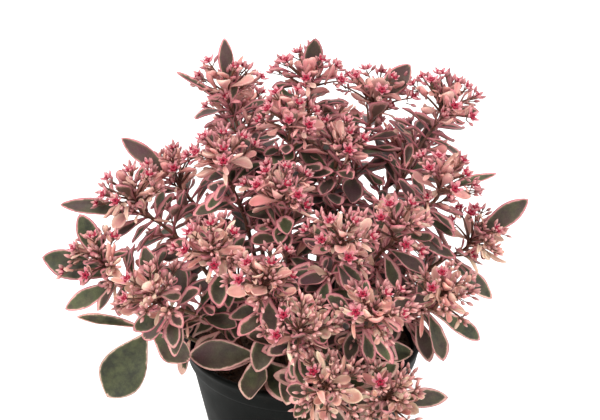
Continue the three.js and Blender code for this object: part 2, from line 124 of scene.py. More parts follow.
floweringStems = [  # bearing and reach of the head, its height above the ground, its size
    (157, 48, 264, 1.05), (83, 31, 264, 1.15), (190, 8, 250, 1.05), (35, 53, 253, 1.2), (14, 86, 252, 1.15),
    (204, 50, 234, 1.05), (186, 98, 205, 1.15), (199, 122, 178, 1.15), (221, 108, 173, 1.1),
    (253, 41, 220, 1.1), (0, 20, 231, 1.1), (346, 82, 218, 1.15), (317, 70, 202, 1.1), (358, 101, 176, 1.05),
    (322, 98, 166, 1.1), (257, 90, 191, 1.1), (269, 108, 171, 1.05), (276, 118, 141, 1.1),
    (292, 120, 131, 1.05), (286, 76, 207, 1.1), (230, 77, 195, 1.1), (290, 108, 178, 1.1), (41, 84, 205, 1.1),
    (115, 94, 219, 1.1), (162, 80, 203, 1.15), (80, 118, 194, 1.15),
]
leafyShoots = [  # bearing, where it roots, reach, height, length of its leaves
    (206, 50, 106, 144, 24), (244, 50, 58, 130, 38), (308, 50, 60, 128, 36), (22, 50, 56, 130, 32),
    (104, 50, 60, 128, 36),
]
markedLeaves = [  # what it grows from, how far along, bearing, rise, length, width, lean to the front
    ("head", 1, 0, 180, 88, 36, 12, 80), ("head", 2, 0, 0, 82, 32, 14, 80), ("head", 4, 0, 0, 50, 34, 16, 70),
    ("head", 8, 0, 160, 62, 36, 15, 65), ("head", 9, 0, 150, 72, 34, 13, 70),
    ("head", 14, 0, 0, 40, 46, 15, 65), ("head", 25, 0, 180, 43, 46, 13, 60),
    ("stem", 1, 0.96, 180, 52, 44, 8, 5), ("head", 5, 0, 0, 8, 24, 10, 30),
    ("stem", 7, 0.97, 182, 16, 57, 12, 40), ("stem", 7, 0.48, 0, 50, 28, 13, 65),
    ("stem", 8, 0.96, 182, 15, 51, 20, 60), ("stem", 8, 0.9, 183, -22, 50, 13, 45),
    ("stem", 9, 0.96, 185, -48, 32, 13, 60), ("stem", 9, 0.38, 190, 78, 34, 14, 75),
    ("head", 12, 0, 0, 26, 37, 8, 20), ("stem", 12, 0.86, 195, -35, 28, 13, 50),
    ("stem", 13, 0.76, 185, -40, 28, 13, 60), ("stem", 14, 0.88, 0, -40, 48, 13, 40),
    ("stem", 15, 0.96, 0, -24, 44, 12, 40), ("stem", 18, 0.6, 255, -14, 32, 14, 60),
    ("stem", 19, 0.92, 0, 5, 46, 13, 45), ("shoot", 1, 0.98, 228, -40, 50, 31, 68),
    ("shoot", 1, 0.98, 296, -36, 32, 20, 74), ("shoot", 1, 0.99, 180, 27, 45, 9, 30),
    ("shoot", 2, 0.92, 190, 14, 46, 22, 60), ("shoot", 2, 0.8, 222, -2, 36, 15, 50),
    ("shoot", 3, 0.95, 0, 4, 33, 15, 50),
]
leafPairs = {"first": 9, "spacing": 23, "lengths": (24, 30, 34, 36), "lowest": 0.42}  # from the head down
shootLeaves = 6

takenSpots = np.zeros((40000, 4))  # balls of room that is taken: x, y, z, radius
takenCores = np.zeros(40000, int)  # whose stem or head core each ball is, 0 for none
takenCount = 0
ownerNumbers = {None: 0}


def numberOf(owner):
    return ownerNumbers.setdefault(owner, len(ownerNumbers))


def potWallAt(z):
    p = potPlan
    return p["footRadius"] + (p["rimRadius"] - p["footRadius"]) * np.minimum(z, p["height"]) / p["height"]


def touchesPot(balls):
    x, y, z, r = balls.T
    radius = np.hypot(x, y)
    above = z - r > potPlan["height"] + clearance
    outside = radius - r > potWallAt(z) + clearance
    inner = potWallAt(z) - potPlan["wall"] - potPlan["bandStep"] - clearance
    hit = (radius + r > inner) | (z - r < soilPlan["top"] + soilPlan["lump"])
    return bool(np.any(~above & ~outside & hit))


def isClear(balls, owner):
    balls = np.array(balls)
    if touchesPot(balls):
        return False
    spots = takenSpots[:takenCount][takenCores[:takenCount] != numberOf(owner)]
    middle = balls[:, :3].mean(0)
    around = np.sqrt(((balls[:, :3] - middle) ** 2).sum(1)).max() + 12
    spots = spots[np.abs(spots[:, :3] - middle).max(1) < around]
    gap = balls[:, None, :3] - spots[None, :, :3]
    reach = balls[:, None, 3] + spots[None, :, 3] + clearance
    return not bool(np.any((gap ** 2).sum(2) < reach ** 2))


def take(balls, core=None):
    global takenCount
    for ball in balls:
        takenSpots[takenCount] = ball
        takenCores[takenCount] = numberOf(core)
        takenCount += 1


def ballAt(p, r):
    return [p[0], p[1], p[2], r]


class Route:  # a stem's way up: a curve with one knee
    def __init__(self, bearing, reach, height, root=None):
        rootReach = 6 + 0.32 * reach if root is None else root
        out = pointing(bearing, 0)
        climb = height - soilPlan["top"]
        self.root = out * rootReach + up * (soilPlan["top"] - soilPlan["holeDepth"] + 1)
        self.knee = out * (rootReach + 0.32 * (reach - rootReach)) + up * (soilPlan["top"] + 0.72 * climb)
        self.tip = out * reach + up * height

    def at(self, t):
        return self.root * (1 - t) ** 2 + self.knee * (2 * t * (1 - t)) + self.tip * t ** 2

    def heading(self, t):
        return unit(self.at(min(1, t + 0.0001)) - self.at(max(0, t - 0.0001)))


def bladeFrame(blade, t):
    turn = blade["form"]["bend"] * t
    forward = blade["direction"] * math.cos(turn) - blade["face"] * math.sin(turn)
    face = blade["face"] * math.cos(turn) + blade["direction"] * math.sin(turn)
    ahead = blade["length"] * math.sin(turn) / blade["form"]["bend"]
    down = blade["length"] * (1 - math.cos(turn)) / blade["form"]["bend"]
    point = blade["root"] + blade["direction"] * ahead - blade["face"] * down
    return point, forward, face, np.cross(face, forward)


def bladeHalfWidth(blade, t):
    swell = max(0, math.sin(math.pi * t ** blade["form"]["peak"]))
    return blade["width"] / 2 * swell ** 0.8


def bladeBalls(blade):
    free = blade["form"]["freeFrom"]
    rows = math.ceil(blade["length"] * (1 - free) / 3.6)
    balls = []
    for i in range(rows + 1):
        t = free + (1 - free) * i / rows
        point, _, face, side = bladeFrame(blade, t)
        half = max(0, bladeHalfWidth(blade, t) - 0.8)
        columns = math.ceil(half / 2)
        for j in range(-columns, columns + 1):
            balls.append(ballAt(point - face * 0.7 + side * (half * j / columns if columns else 0), 1.4))
    return balls


bladeTries = [(0, 0), (14, 0), (-14, 0), (0, 14), (0, -14), (28, 8), (-28, 8), (45, -6), (-45, -6)]


def placeBlade(owner, form, root, towards, face, length, width, marked=False):
    for shrink in (1, 0.85, 0.7):
        for turn, tilt in bladeTries:
            direction = towards(turn, tilt)
            blade = {"form": form, "root": root, "direction": direction, "face": squareTo(direction, face),
                     "length": length * shrink, "width": width * shrink, "marked": marked}
            balls = bladeBalls(blade)
            if isClear(balls, owner):
                take(balls)
                return blade
    return None


def leafAroundStem(owner, route, along, around, tiltFromStem, length, width):
    forward = route.heading(along)
    across = squareTo(forward, vec(0.3, 0.2, 1))
    side = np.cross(forward, across)

    def towards(turn, tilt):
        return turned(forward, turned(across, side, around + turn), tiltFromStem + tilt)
    return placeBlade(owner, leafPlan, route.at(along), towards, mixed(forward, up, 0.45), length, width)


def startHead(stem, index):
    owner = "head" + str(index)
    forward = stem["route"].heading(1)
    axis = mixed(forward, up, 0.55)
    base = stem["route"].at(1) + forward * bareSkin
    swell = ((0.1, 0.6), (0.35, 0.9), (0.6, 1.1), (0.85, 0.6))
    core, radius = headPlan["core"], headPlan["coreRadius"]
    take([ballAt(base + axis * (along * core), share * radius) for along, share in swell], owner)
    opened = min(4, max(1, math.floor((stem["height"] - 90) / 42 + 0.5)))  # high heads have more open flowers
    return {"owner": owner, "base": base, "forward": forward, "axis": axis, "size": stem["size"],
            "open": opened, "flowers": [], "buds": [], "bracts": []}


def fillHead(head, index):
    owner, base, axis = head["owner"], head["base"], head["axis"]
    draw = drawsFrom(7001 + 97 * index)
    across = squareTo(axis, vec(1, 0.2, 0.1))
    side = np.cross(axis, across)

    def outward(angle):
        return turned(across, side, angle)
    head["across"], head["side"] = across, side
    for k in range(headPlan["bracts"]):
        lengthDraw, openDraw, depth = draw(), draw(), draw()
        length = 17 + 8 * lengthDraw
        opening = 60 + 20 * openDraw if k % 2 == 0 else 20 + 20 * openDraw

        def towards(turn, tilt):
            wide = math.radians(opening + tilt)
            return axis * math.cos(wide) + outward(35 + k * 360 / headPlan["bracts"] + turn) * math.sin(wide)
        root = base + axis * (headPlan["core"] * (0.12 + 0.11 * k + 0.1 * depth))
        bract = placeBlade(owner, bractPlan, root, towards, axis, length, length * 0.5)
        if bract:
            head["bracts"].append(bract)
    for k in range(headPlan["rays"]):
        depth, lift, jitter = draw(), draw(), draw()
        isFlower = k % 3 == 1 and len(head["flowers"]) < head["open"]
        share = math.sqrt((k + 0.6) / headPlan["rays"])
        root = base + axis * (headPlan["core"] * (0.72 - 0.5 * share + 0.12 * depth))
        for turn in (0, 18, -18, 36):
            around = outward(k * goldenTurn + 30 * jitter + turn)
            radius = headPlan["spread"] * head["size"] * share
            height = headPlan["rise"] + 5 * lift - headPlan["droop"] * share * share
            tip = base + axis * height + around * radius
            facing = mixed(unit(tip - root), axis, 0.4 if isFlower else 0.2)
            balls = [ballAt(root + (tip - root) * ((i + 1) / 6), 0.7) for i in (3, 4, 5)]
            size = flowerPlan["radius"] - 1 if isFlower else budPlan["radius"]
            balls.append(ballAt(tip + facing * (1.6 if isFlower else 2.6), size))
            if not isFlower:
                balls.append(ballAt(tip + facing * 5.2, 0.9))
            if isClear(balls, owner):
                take(balls)
                head["flowers" if isFlower else "buds"].append({"root": root, "tip": tip, "facing": facing})
                break


def placeMarkedLeaf(row, stems, shoots, heads):
    kind, number, along, bearing, rise, length, width, lean = row
    face = vec(0, -math.sin(math.radians(lean)), math.cos(math.radians(lean)))

    def towards(turn, tilt):
        return pointing(bearing + turn, rise + tilt)
    if kind == "head":
        head = heads[number - 1]
        root = head["base"] + head["axis"] * (headPlan["core"] * 0.35)
        form, leaves = headLeafPlan, head["bracts"]
        owner = head["owner"]
    else:
        carrier = (stems if kind == "stem" else shoots)[number - 1]
        root, form, leaves = carrier["route"].at(along), leafPlan, carrier["leaves"]
        owner = kind + str(number - 1)
    leaf = placeBlade(owner, form, root, towards, face, length, width, marked=True)
    if leaf:
        leaves.append(leaf)


def pairsOn(route):  # how far along each leaf pair grows, and its leaves' length
    stemLength = math.dist(route.at(0), route.at(1))
    first, spacing = leafPairs["first"], leafPairs["spacing"]
    down = [(1 - (first + spacing * k) / stemLength, length) for k, length in enumerate(leafPairs["lengths"])]
    return [(along, length) for along, length in down if along >= leafPairs["lowest"]]


def growPlant():
    stems = [{"route": Route(b, r, h), "height": h, "size": s, "leaves": []} for b, r, h, s in floweringStems]
    shoots = [{"route": Route(b, r, h, root), "leaf": leaf, "leaves": []}
              for b, root, r, h, leaf in leafyShoots]
    standing = [(s, "stem" + str(i)) for i, s in enumerate(stems)]
    standing += [(s, "shoot" + str(i)) for i, s in enumerate(shoots)]
    for stem, owner in standing:
        take([ballAt(stem["route"].at(i / 40), 1.8) for i in range(41)], owner)
    heads = [startHead(stem, i) for i, stem in enumerate(stems)]
    for row in markedLeaves:
        placeMarkedLeaf(row, stems, shoots, heads)
    for i, head in enumerate(heads):
        fillHead(head, i)
    for i, stem in enumerate(stems):
        draw = drawsFrom(3001 + 89 * i)
        stem["pairs"] = pairsOn(stem["route"])
        for level, (along, pairLength) in enumerate(stem["pairs"]):
            for half in (0, 1):
                turn, opening, grow = draw(), draw(), draw()
                length = pairLength * (0.85 + 0.3 * grow)
                around, tilt = 90 * level + 180 * half + 40 * turn, 52 + 26 * opening
                leaf = leafAroundStem("stem" + str(i), stem["route"], along, around, tilt, length,
                                      length * 0.46)
                if leaf:
                    stem["leaves"].append(leaf)
    for i, shoot in enumerate(shoots):
        draw = drawsFrom(5003 + 83 * i)
        for k in range(shootLeaves):
            turn, opening = draw(), draw()
            level = k // 2
            along, around = 0.98 - 0.2 * level, 90 * level + 180 * (k % 2) + 30 * turn
            tilt, length = 40 + 20 * level + 12 * opening, shoot["leaf"]
            leaf = leafAroundStem("shoot" + str(i), shoot["route"], along, around, tilt, length,
                                  length * 0.56)
            if leaf:
                shoot["leaves"].append(leaf)
    return stems, shoots, heads


stems, shoots, heads = growPlant()


# Leaves that show between the heads. Each grows from the stem that passes nearest to its foot in the photo.

photoView = {"camera": (-1.62, -859.9, 625.5), "pitch": 26.2,
             "focal": 1538.96, "centre": (300, 210)}  # both in pixels of the photo
innerLeaves = [  # foot and tip in pixels of the photo, width in mm, how far it comes forward
    ((200, 268), (238, 236), 16, 0.25), ((262, 296), (266, 262), 15, 0.2), ((392, 222), (438, 218), 10, 0.2),
    ((245, 180), (288, 158), 20, 0.1), ((345, 152), (388, 150), 10, 0.3), ((338, 284), (364, 252), 14, 0.3),
    ((412, 236), (468, 262), 9, 0.1), ((114, 272), (108, 228), 15, 0.2), ((164, 302), (140, 336), 13, 0.3),
    ((166, 330), (192, 326), 12, 0.3), ((322, 172), (300, 150), 12, 0.2), ((310, 205), (352, 196), 12, 0.3),
    ((300, 262), (322, 232), 12, 0.3), ((330, 340), (352, 312), 14, 0.4), ((252, 352), (236, 320), 14, 0.3),
    ((424, 160), (440, 122), 10, 0.1), ((345, 372), (372, 348), 15, 0.4), ((400, 332), (372, 308), 13, 0.4),
    ((368, 120), (392, 76), 15, 0.2),
]
innerLeaf = {"nearEnough": 14, "frontFirst": 0.12, "steps": 40, "lowest": 12, "spare": 1.04, "longest": 38,
             "lean": 62}
smallLeaves = {"length": (22, 33), "width": 0.43, "levels": 6, "first": 4, "spacing": 11.5,
               "lowest": 0.4, "outerReach": 88, "outerLowest": 0.2}  # the outer stems have fewer


def photoAxes():  # the photo's right, up and away from the camera
    pitch = math.radians(photoView["pitch"])
    return vec(1, 0, 0), vec(0, math.sin(pitch), math.cos(pitch)), vec(0, math.cos(pitch), -math.sin(pitch))


def findLeaf(foot, tip, width, forward):  # the marked leaf whose foot and tip show at these pixels
    s = innerLeaf
    right, rising, away = photoAxes()
    centre, focal = np.array(photoView["centre"]), photoView["focal"]
    best = None
    for kind, group in (("stem", stems), ("shoot", shoots)):
        for number, carrier in enumerate(group, 1):
            for step in range(s["lowest"], s["steps"]):
                gap = carrier["route"].at(step / s["steps"]) - photoView["camera"]
                depth = gap @ away
                shown = centre + np.array([gap @ right, -(gap @ rising)]) * focal / depth
                miss = math.dist(shown, foot)
                score = miss + depth * s["frontFirst"]
                if miss < s["nearEnough"] and (best is None or score < best[0]):
                    best = (score, kind, number, step / s["steps"], shown, depth)
    _, kind, number, along, shown, depth = best
    flat = (np.array(tip) - shown) * depth / focal
    pointed = right * flat[0] - rising * flat[1] - away * forward * math.hypot(*flat)
    length = math.hypot(*pointed)
    bearing = round(math.degrees(math.atan2(pointed[1], pointed[0])) % 360)
    rise = round(math.degrees(math.asin(pointed[2] / length)))
    length = round(min(length * s["spare"], s["longest"]))
    return kind, number, round(along, 2), bearing, rise, length, width, s["lean"]


def roomAhead(foot, direction, length):  # as much of the length as stays inside the solid model's box
    room = length
    for axis in range(3):
        if abs(direction[axis]) > 0.05:
            limit = cadBox[1 if direction[axis] > 0 else 0][axis] / metre
            room = min(room, (limit - foot[axis]) / direction[axis] - 2)
    return room


def growSmallLeaves():
    s = smallLeaves
    for i, stem in enumerate(stems):
        draw = drawsFrom(6007 + 71 * i)
        stem["small"] = []
        route = stem["route"]
        stemLength = math.dist(route.at(0), route.at(1))
        lowest = s["lowest"] + (s["outerLowest"] if math.hypot(*route.tip[:2]) > s["outerReach"] else 0)
        for level in range(s["levels"]):
            turn, opening, grow = draw(), draw(), draw()
            along = 1 - (s["first"] + s["spacing"] * level) / stemLength
            if along > lowest:
                length = within(s["length"], grow)
                for half in (0, 1):
                    around, tilt = goldenTurn * level + 45 + 180 * half + 40 * turn, 40 + 30 * opening
                    leaf = leafAroundStem("stem" + str(i), route, along, around, tilt, length,
                                          length * s["width"])
                    if leaf and roomAhead(leaf["root"], leaf["direction"], 99) > leaf["length"]:
                        stem["small"].append(leaf)


for picked in innerLeaves:
    placeMarkedLeaf(findLeaf(*picked), stems, shoots, heads)
growSmallLeaves()
print("plan grown:", sum(len(s["leaves"]) for s in stems + shoots), "leaves,",
      sum(len(h["buds"]) for h in heads), "bud stalks,", sum(len(h["flowers"]) for h in heads), "flowers")


# Meshes are gathered in lists, one heap for each piece

triangles = {}  # how many triangles each piece has
skinFaces = {}  # the faces of each kind of skin, worked out once


class Heap:
    def __init__(self):
        self.points, self.marks, self.hues = [], [], []
        self.corners, self.sizes, self.kinds = [], [], []
        self.count = 0

    def add(self, points, faces, kind, marks, hue):
        corners, sizes = faces
        n = len(points)
        self.points.append(np.asarray(points, float))
        self.marks.append(np.broadcast_to(np.asarray(marks, float), (n, 4)))
        self.hues.append(np.broadcast_to(np.asarray(hue, float), (n, 4)))
        self.corners.append(corners + self.count)
        self.sizes.append(sizes)
        self.kinds.append(np.full(len(sizes), kind))
        self.count += n

    def make(self, name, materials):
        points = np.concatenate(self.points) * metre
        corners, sizes = np.concatenate(self.corners), np.concatenate(self.sizes)
        mesh = bpy.data.meshes.new(name)
        mesh.vertices.add(len(points))
        mesh.vertices.foreach_set("co", points.astype(np.float32).ravel())
        mesh.loops.add(len(corners))
        mesh.loops.foreach_set("vertex_index", corners.astype(np.int32))
        mesh.polygons.add(len(sizes))
        mesh.polygons.foreach_set("loop_start", (np.cumsum(sizes) - sizes).astype(np.int32))
        for material in materials:
            mesh.materials.append(material)
        mesh.polygons.foreach_set("material_index", np.concatenate(self.kinds).astype(np.int32))
        mesh.polygons.foreach_set("use_smooth", np.ones(len(sizes), bool))
        mesh.update(calc_edges=True)
        for label, rows in (("marks", self.marks), ("hue", self.hues)):
            layer = mesh.attributes.new(label, "FLOAT_COLOR", "POINT")
            layer.data.foreach_set("color", np.concatenate(rows).astype(np.float32).ravel())
        piece = bpy.data.objects.new(name, mesh)
        bpy.context.scene.collection.objects.link(piece)
        triangles[name] = int(np.sum(sizes - 2))
        return piece


def facesOfSkin(rings, sides, start, end):  # quads round the rings, and a point or a flat face at each end
    key = (rings, sides, start, end)
    if key not in skinFaces:
        i = np.arange(sides)
        j = (i + 1) % sides
        last = (rings - 1) * sides
        startPoint = last + sides
        endPoint = startPoint + (1 if start == "point" else 0)
        corners = [np.stack([at + i, at + j, at + sides + j, at + sides + i], 1).ravel()
                   for at in range(0, last, sides)]
        sizes = [4] * last
        if start == "point":
            corners.append(np.stack([np.full(sides, startPoint), j, i], 1).ravel())
            sizes += [3] * sides
        else:
            corners.append(i[::-1])
            sizes += [sides]
        if end == "point":
            corners.append(np.stack([last + i, last + j, np.full(sides, endPoint)], 1).ravel())
            sizes += [3] * sides
        else:
            corners.append(last + i)
            sizes += [sides]
        skinFaces[key] = np.concatenate(corners), np.array(sizes)
    return skinFaces[key]


def tube(heap, path, radii, sides, kind, hue):  # a stem or stalk along points
    path = np.asarray(path, float)
    ahead = np.gradient(path, axis=0)
    ahead /= np.linalg.norm(ahead, axis=1, keepdims=True)
    across = squareTo(ahead[0], vec(0.31, 0.27, 0.9) if abs(ahead[0][2]) < 0.9 else vec(1, 0.2, 0))
    rings = []
    turns = np.arange(sides) * 2 * math.pi / sides
    for point, forward, radius in zip(path, ahead, radii):
        across = squareTo(forward, across)
        side = np.cross(forward, across)
        rings.append(point + radius * (np.outer(np.cos(turns), across) + np.outer(np.sin(turns), side)))
    marks = np.zeros((len(path) * sides, 4))
    marks[:, 1] = np.repeat(np.linspace(0, 1, len(path)), sides)
    marks[:, 2] = np.tile(np.arange(sides) / sides, len(path))
    heap.add(np.concatenate(rings), facesOfSkin(len(path), sides, "flat", "flat"), kind, marks, hue)


def bladeSkin(heap, blade, look, kind, hue, rng):  # a leaf, bract or petal with real thickness
    rows, columns = look["rows"], look["columns"]
    us = np.sin(np.linspace(-1, 1, columns) * math.pi / 2) * 0.5 + np.linspace(-1, 1, columns) * 0.5
    ringU = np.concatenate([us, us[::-1][1:-1]])
    isUnder = np.concatenate([np.zeros(columns), np.ones(columns - 2)])
    wavePhase, waveSide = rng.random() * 6.28, rng.random() * 6.28
    cup = look["cup"] * (0.5 + 1.0 * rng.random())
    twist = look["twist"] * (rng.random() - 0.5)
    veer = look["veer"] * (rng.random() - 0.5)
    curl = look["curl"] * (rng.random() - 0.35)
    rings, marks = [], []
    for i in range(rows + 1):
        t = 1 - (1 - i / rows) ** 1.25
        point, _, face, side = bladeFrame(blade, t)
        point = point + side * (veer * blade["length"] * t * t)
        past = max(0, t - 0.45)
        point = point - face * (curl * blade["length"] * past * past)
        half = bladeHalfWidth(blade, t ** look["round"])
        half = blade["width"] / 2 * (2 * half / blade["width"]) ** (1 - look["blunt"] * max(0, t - 0.4))
        if t < 0.45:
            half = max(half, look["petiole"] * (1 - 0.4 * t))
        c, s = math.cos(twist * t), math.sin(twist * t)
        side, face = side * c + face * s, face * c - side * s
        if i == rows:
            rings.append(point[None])
            marks.append([[0, 1, 0.5, 0]])
            break
        thick = look["thick"] * (1 - 0.45 * t) * min(1, half / 1.2)
        swing = np.sin(t * look["waves"] * 6.28 + wavePhase + (ringU > 0) * waveSide)
        wave = look["wave"] * half * swing * ringU ** 2 * min(1, 2.5 * t)
        dish = -cup * half * (1 - np.abs(ringU) ** 1.7)
        crease = -look["crease"] * np.exp(-(ringU * half / 0.7) ** 2) * min(1, half / 2)
        under = isUnder * thick * np.sqrt(np.maximum(0, 1 - np.abs(ringU) ** 2.4))
        lift = wave + dish + crease * (1 - 1.6 * isUnder) - under
        pulled = 1 - 0.35 * cup * min(1, half / 3)
        rings.append(point + np.outer(ringU * half * pulled, side) + np.outer(lift, face))
        margin = np.minimum((1 - np.abs(ringU)) * half, (1 - t) * blade["length"] * 0.8) / 10
        marks.append(np.stack([margin, np.full(len(ringU), t), 0.5 + 0.5 * ringU, isUnder], 1))
    points, marks = np.concatenate(rings), np.concatenate(marks)
    past = np.maximum(0, points.max(0) - boxHigh) - np.maximum(0, boxLow - points.min(0))
    points -= past * marks[:, 1:2] ** 2  # a tip that leaves the solid model's box bends back into it
    heap.add(points, facesOfSkin(rows, len(ringU), "flat", "point"), kind, marks, hue)


def aimed(direction, spin=0.0):  # rows are the side, the other side and the way ahead of a small part
    ahead = unit(direction)
    across = squareTo(ahead, vec(0.9, 0.3, 0.2) if abs(ahead[0]) < 0.8 else vec(0.1, 0.9, 0.3))
    side = np.cross(ahead, across)
    c, s = math.cos(spin), math.sin(spin)
    return np.array([across * c + side * s, side * c - across * s, ahead])


# Materials. Each paint holds the screen colours and the surface's own even settings.

surfaceSockets = {"roughness": "Roughness", "shine": "Specular IOR Level", "glow": "Subsurface Weight",
                  "glowReach": "Subsurface Radius"}


def addNode(tree, kind, settings=None, **inputs):
    made = tree.nodes.new("ShaderNode" + kind)
    for key, value in (settings or {}).items():
        setattr(made, key, value)
    for key, value in inputs.items():
        socket = made.inputs[int(key[1:])] if key[0] == "i" and key[1:].isdigit() else made.inputs[key]
        if isinstance(value, bpy.types.NodeSocket):
            tree.links.new(value, socket)
        else:
            socket.default_value = value
    return made


def startMaterial(name, paint):
    material = bpy.data.materials.new(name)
    material.use_nodes = True
    surface = material.node_tree.nodes["Principled BSDF"]
    for key, socket in surfaceSockets.items():
        if key in paint:
            surface.inputs[socket].default_value = paint[key]
    colours = {key: linear(value) for key, value in paint.items() if isinstance(value, str)}
    return material, material.node_tree, colours


def finishMaterial(material, colour, relief, depth, strength):  # the depth of the relief is in metres
    tree = material.node_tree
    surface = tree.nodes["Principled BSDF"]
    bump = addNode(tree, "Bump", Height=relief, Distance=depth, Strength=strength)
    tree.links.new(colour, surface.inputs["Base Color"])
    tree.links.new(bump.outputs[0], surface.inputs["Normal"])
    return material


def plus(tree, a, b, clamp=False):
    return addNode(tree, "Math", {"operation": "ADD", "use_clamp": clamp}, i0=a, i1=b).outputs[0]


def minus(tree, a, b, clamp=False):
    return addNode(tree, "Math", {"operation": "SUBTRACT", "use_clamp": clamp}, i0=a, i1=b).outputs[0]


def times(tree, a, b, clamp=False):
    return addNode(tree, "Math", {"operation": "MULTIPLY", "use_clamp": clamp}, i0=a, i1=b).outputs[0]


def swinging(tree, value, size):  # a noise to either side of nothing
    return times(tree, minus(tree, value, 0.5), size)


def blend(tree, share, a, b):  # colour a with this share of colour b
    return addNode(tree, "Mix", {"data_type": "RGBA"}, i0=share, i6=a, i7=b).outputs[2]


def ramp(tree, value, *stops):
    made = addNode(tree, "ValToRGB", Fac=value)
    elements = made.color_ramp.elements
    while len(elements) < len(stops):
        elements.new(0.5)
    for element, (position, colour) in zip(elements, stops):
        element.position = position
        element.color = colour if isinstance(colour, list) else [colour] * 3 + [1.0]
    return made.outputs[0]


def attribute(tree, name):
    made = addNode(tree, "Attribute", {"attribute_name": name})
    split = addNode(tree, "SeparateColor", Color=made.outputs["Color"])
    return split.outputs[0], split.outputs[1], split.outputs[2], made.outputs["Alpha"]


def noise(tree, scale, detail=2.0, roughness=0.5, place=None):
    if place is None:
        place = addNode(tree, "TexCoord").outputs["Object"]
    return addNode(tree, "TexNoise", Vector=place, Scale=scale, Detail=detail, Roughness=roughness).outputs[0]


def brightened(tree, colour, value):
    return addNode(tree, "HueSaturation", Color=colour, Value=value).outputs[0]


leafPaint = {"green": "#4c5036", "dark": "#323428", "plum": "#56393f", "sage": "#7f7c5c", "cream": "#ddc6ae",
             "pink": "#c98a8a", "rose": "#b7606f", "underside": "#7c5a52", "roughness": 0.5, "shine": 0.2,
             "glow": 0.05, "glowReach": (0.0012, 0.0006, 0.0004)}


def leafMaterial():
    material, tree, c = startMaterial("variegatedLeaf", leafPaint)
    margin, along, across, under = attribute(tree, "marks")
    blush, chance, shade, edgeWidth = attribute(tree, "hue")
    lengthwise = addNode(tree, "CombineXYZ", X=times(tree, across, 7.0), Y=times(tree, along, 3.0),
                         Z=times(tree, chance, 40.0)).outputs[0]
    streaks = noise(tree, 1.0, 4.0, 0.6, lengthwise)
    wobble = plus(tree, swinging(tree, noise(tree, 210.0, 3.0), 0.2), swinging(tree, streaks, 0.2))
    inside = minus(tree, plus(tree, margin, wobble), edgeWidth)  # how far past the pale margin, in cm
    centre = times(tree, inside, 22.0, True)
    feather = minus(tree, 1.0, times(tree, inside, 7.0), True)
    plumShare = plus(tree, times(tree, blush, 0.5), swinging(tree, noise(tree, 70.0, 3.0), 1.1))
    plumShare = plus(tree, plumShare, times(tree, minus(tree, chance, 0.55), 0.8), True)
    plumShare = times(tree, plumShare, ramp(tree, along, (0.15, 0.35), (0.6, 1.0)))
    mottle = ramp(tree, noise(tree, 120.0, 5.0, 0.65), (0.38, 0.0), (0.62, 1.0))
    heart = blend(tree, mottle, c["green"], c["dark"])
    heart = blend(tree, plumShare, heart, c["plum"])
    heart = blend(tree, times(tree, feather, 0.5), heart, c["sage"])
    pinkShare = plus(tree, plus(tree, blush, 0.2), swinging(tree, noise(tree, 55.0), 0.9), True)
    rim = minus(tree, 1.0, times(tree, margin, 11.0), True)
    edge = blend(tree, pinkShare, c["cream"], c["pink"])
    edge = blend(tree, times(tree, rim, pinkShare), edge, c["rose"])
    face = blend(tree, centre, edge, heart)
    colour = blend(tree, under, face, blend(tree, 0.5, face, c["underside"]))
    speckle = ramp(tree, noise(tree, 1300.0, 3.0, 0.6), (0.4, 0.86), (0.7, 1.12))
    colour = brightened(tree, colour, times(tree, plus(tree, times(tree, shade, 0.5), 0.78), speckle))
    relief = plus(tree, noise(tree, 1500.0, 3.0), times(tree, streaks, 1.2))
    return finishMaterial(material, colour, relief, 0.00016, 0.5)


stemPaint = {"dark": "#432922", "warm": "#70493a", "green": "#565433", "roughness": 0.5, "shine": 0.3}


def stemMaterial():
    material, tree, c = startMaterial("purpleBrownStem", stemPaint)
    blush = attribute(tree, "hue")[0]
    streaks = ramp(tree, noise(tree, 320.0, 4.0, 0.6), (0.35, 0.0), (0.65, 1.0))
    colour = blend(tree, streaks, c["dark"], c["warm"])
    colour = blend(tree, times(tree, minus(tree, 1.0, blush, True), 0.5), colour, c["green"])
    return finishMaterial(material, colour, noise(tree, 900.0, 4.0), 0.0002, 0.6)


bractPaint = {"salmon": "#db9f90", "peach": "#dfc0a8", "cream": "#e6d4b8", "coral": "#c67773",
              "base": "#a8826c", "flush": "#b0666a", "pink": "#c47e85", "roughness": 0.55, "shine": 0.25,
              "glow": 0.1, "glowReach": (0.0015, 0.0007, 0.0005)}


def bractMaterial():
    material, tree, c = startMaterial("salmonBract", bractPaint)
    margin, along, _, under = attribute(tree, "marks")
    blush, chance, shade, _ = attribute(tree, "hue")
    patch = times(tree, ramp(tree, noise(tree, 230.0, 3.0), (0.42, 0.0), (0.68, 1.0)), 0.55)
    rim = minus(tree, 1.0, times(tree, margin, 9.0), True)
    colour = ramp(tree, chance, (0.0, c["coral"]), (0.3, c["salmon"]), (0.7, c["peach"]), (1.0, c["cream"]))
    colour = blend(tree, patch, colour, c["salmon"])
    colour = blend(tree, times(tree, rim, 0.3), colour, c["cream"])
    colour = blend(tree, ramp(tree, margin, (0.08, 0.0), (0.3, 0.5)), colour, c["flush"])
    colour = blend(tree, ramp(tree, along, (0.15, 0.8), (0.6, 0.0)), colour, c["base"])
    colour = blend(tree, times(tree, under, 0.35), colour, c["coral"])
    colour = blend(tree, times(tree, blush, 0.45), colour, c["pink"])
    colour = brightened(tree, colour, plus(tree, times(tree, shade, 0.45), 0.76))
    return finishMaterial(material, colour, noise(tree, 1400.0, 3.0), 0.00012, 0.5)


# The bud's dark colour is painted shade, laid down the grooves between its ribs.
budPaint = {"foot": "#66523c", "middle": "#a96d69", "tip": "#d3a79d", "dark": "#744044", "pink": "#b26975",
            "roughness": 0.5, "shine": 0.3, "glow": 0.06, "glowReach": (0.001, 0.0005, 0.0004)}


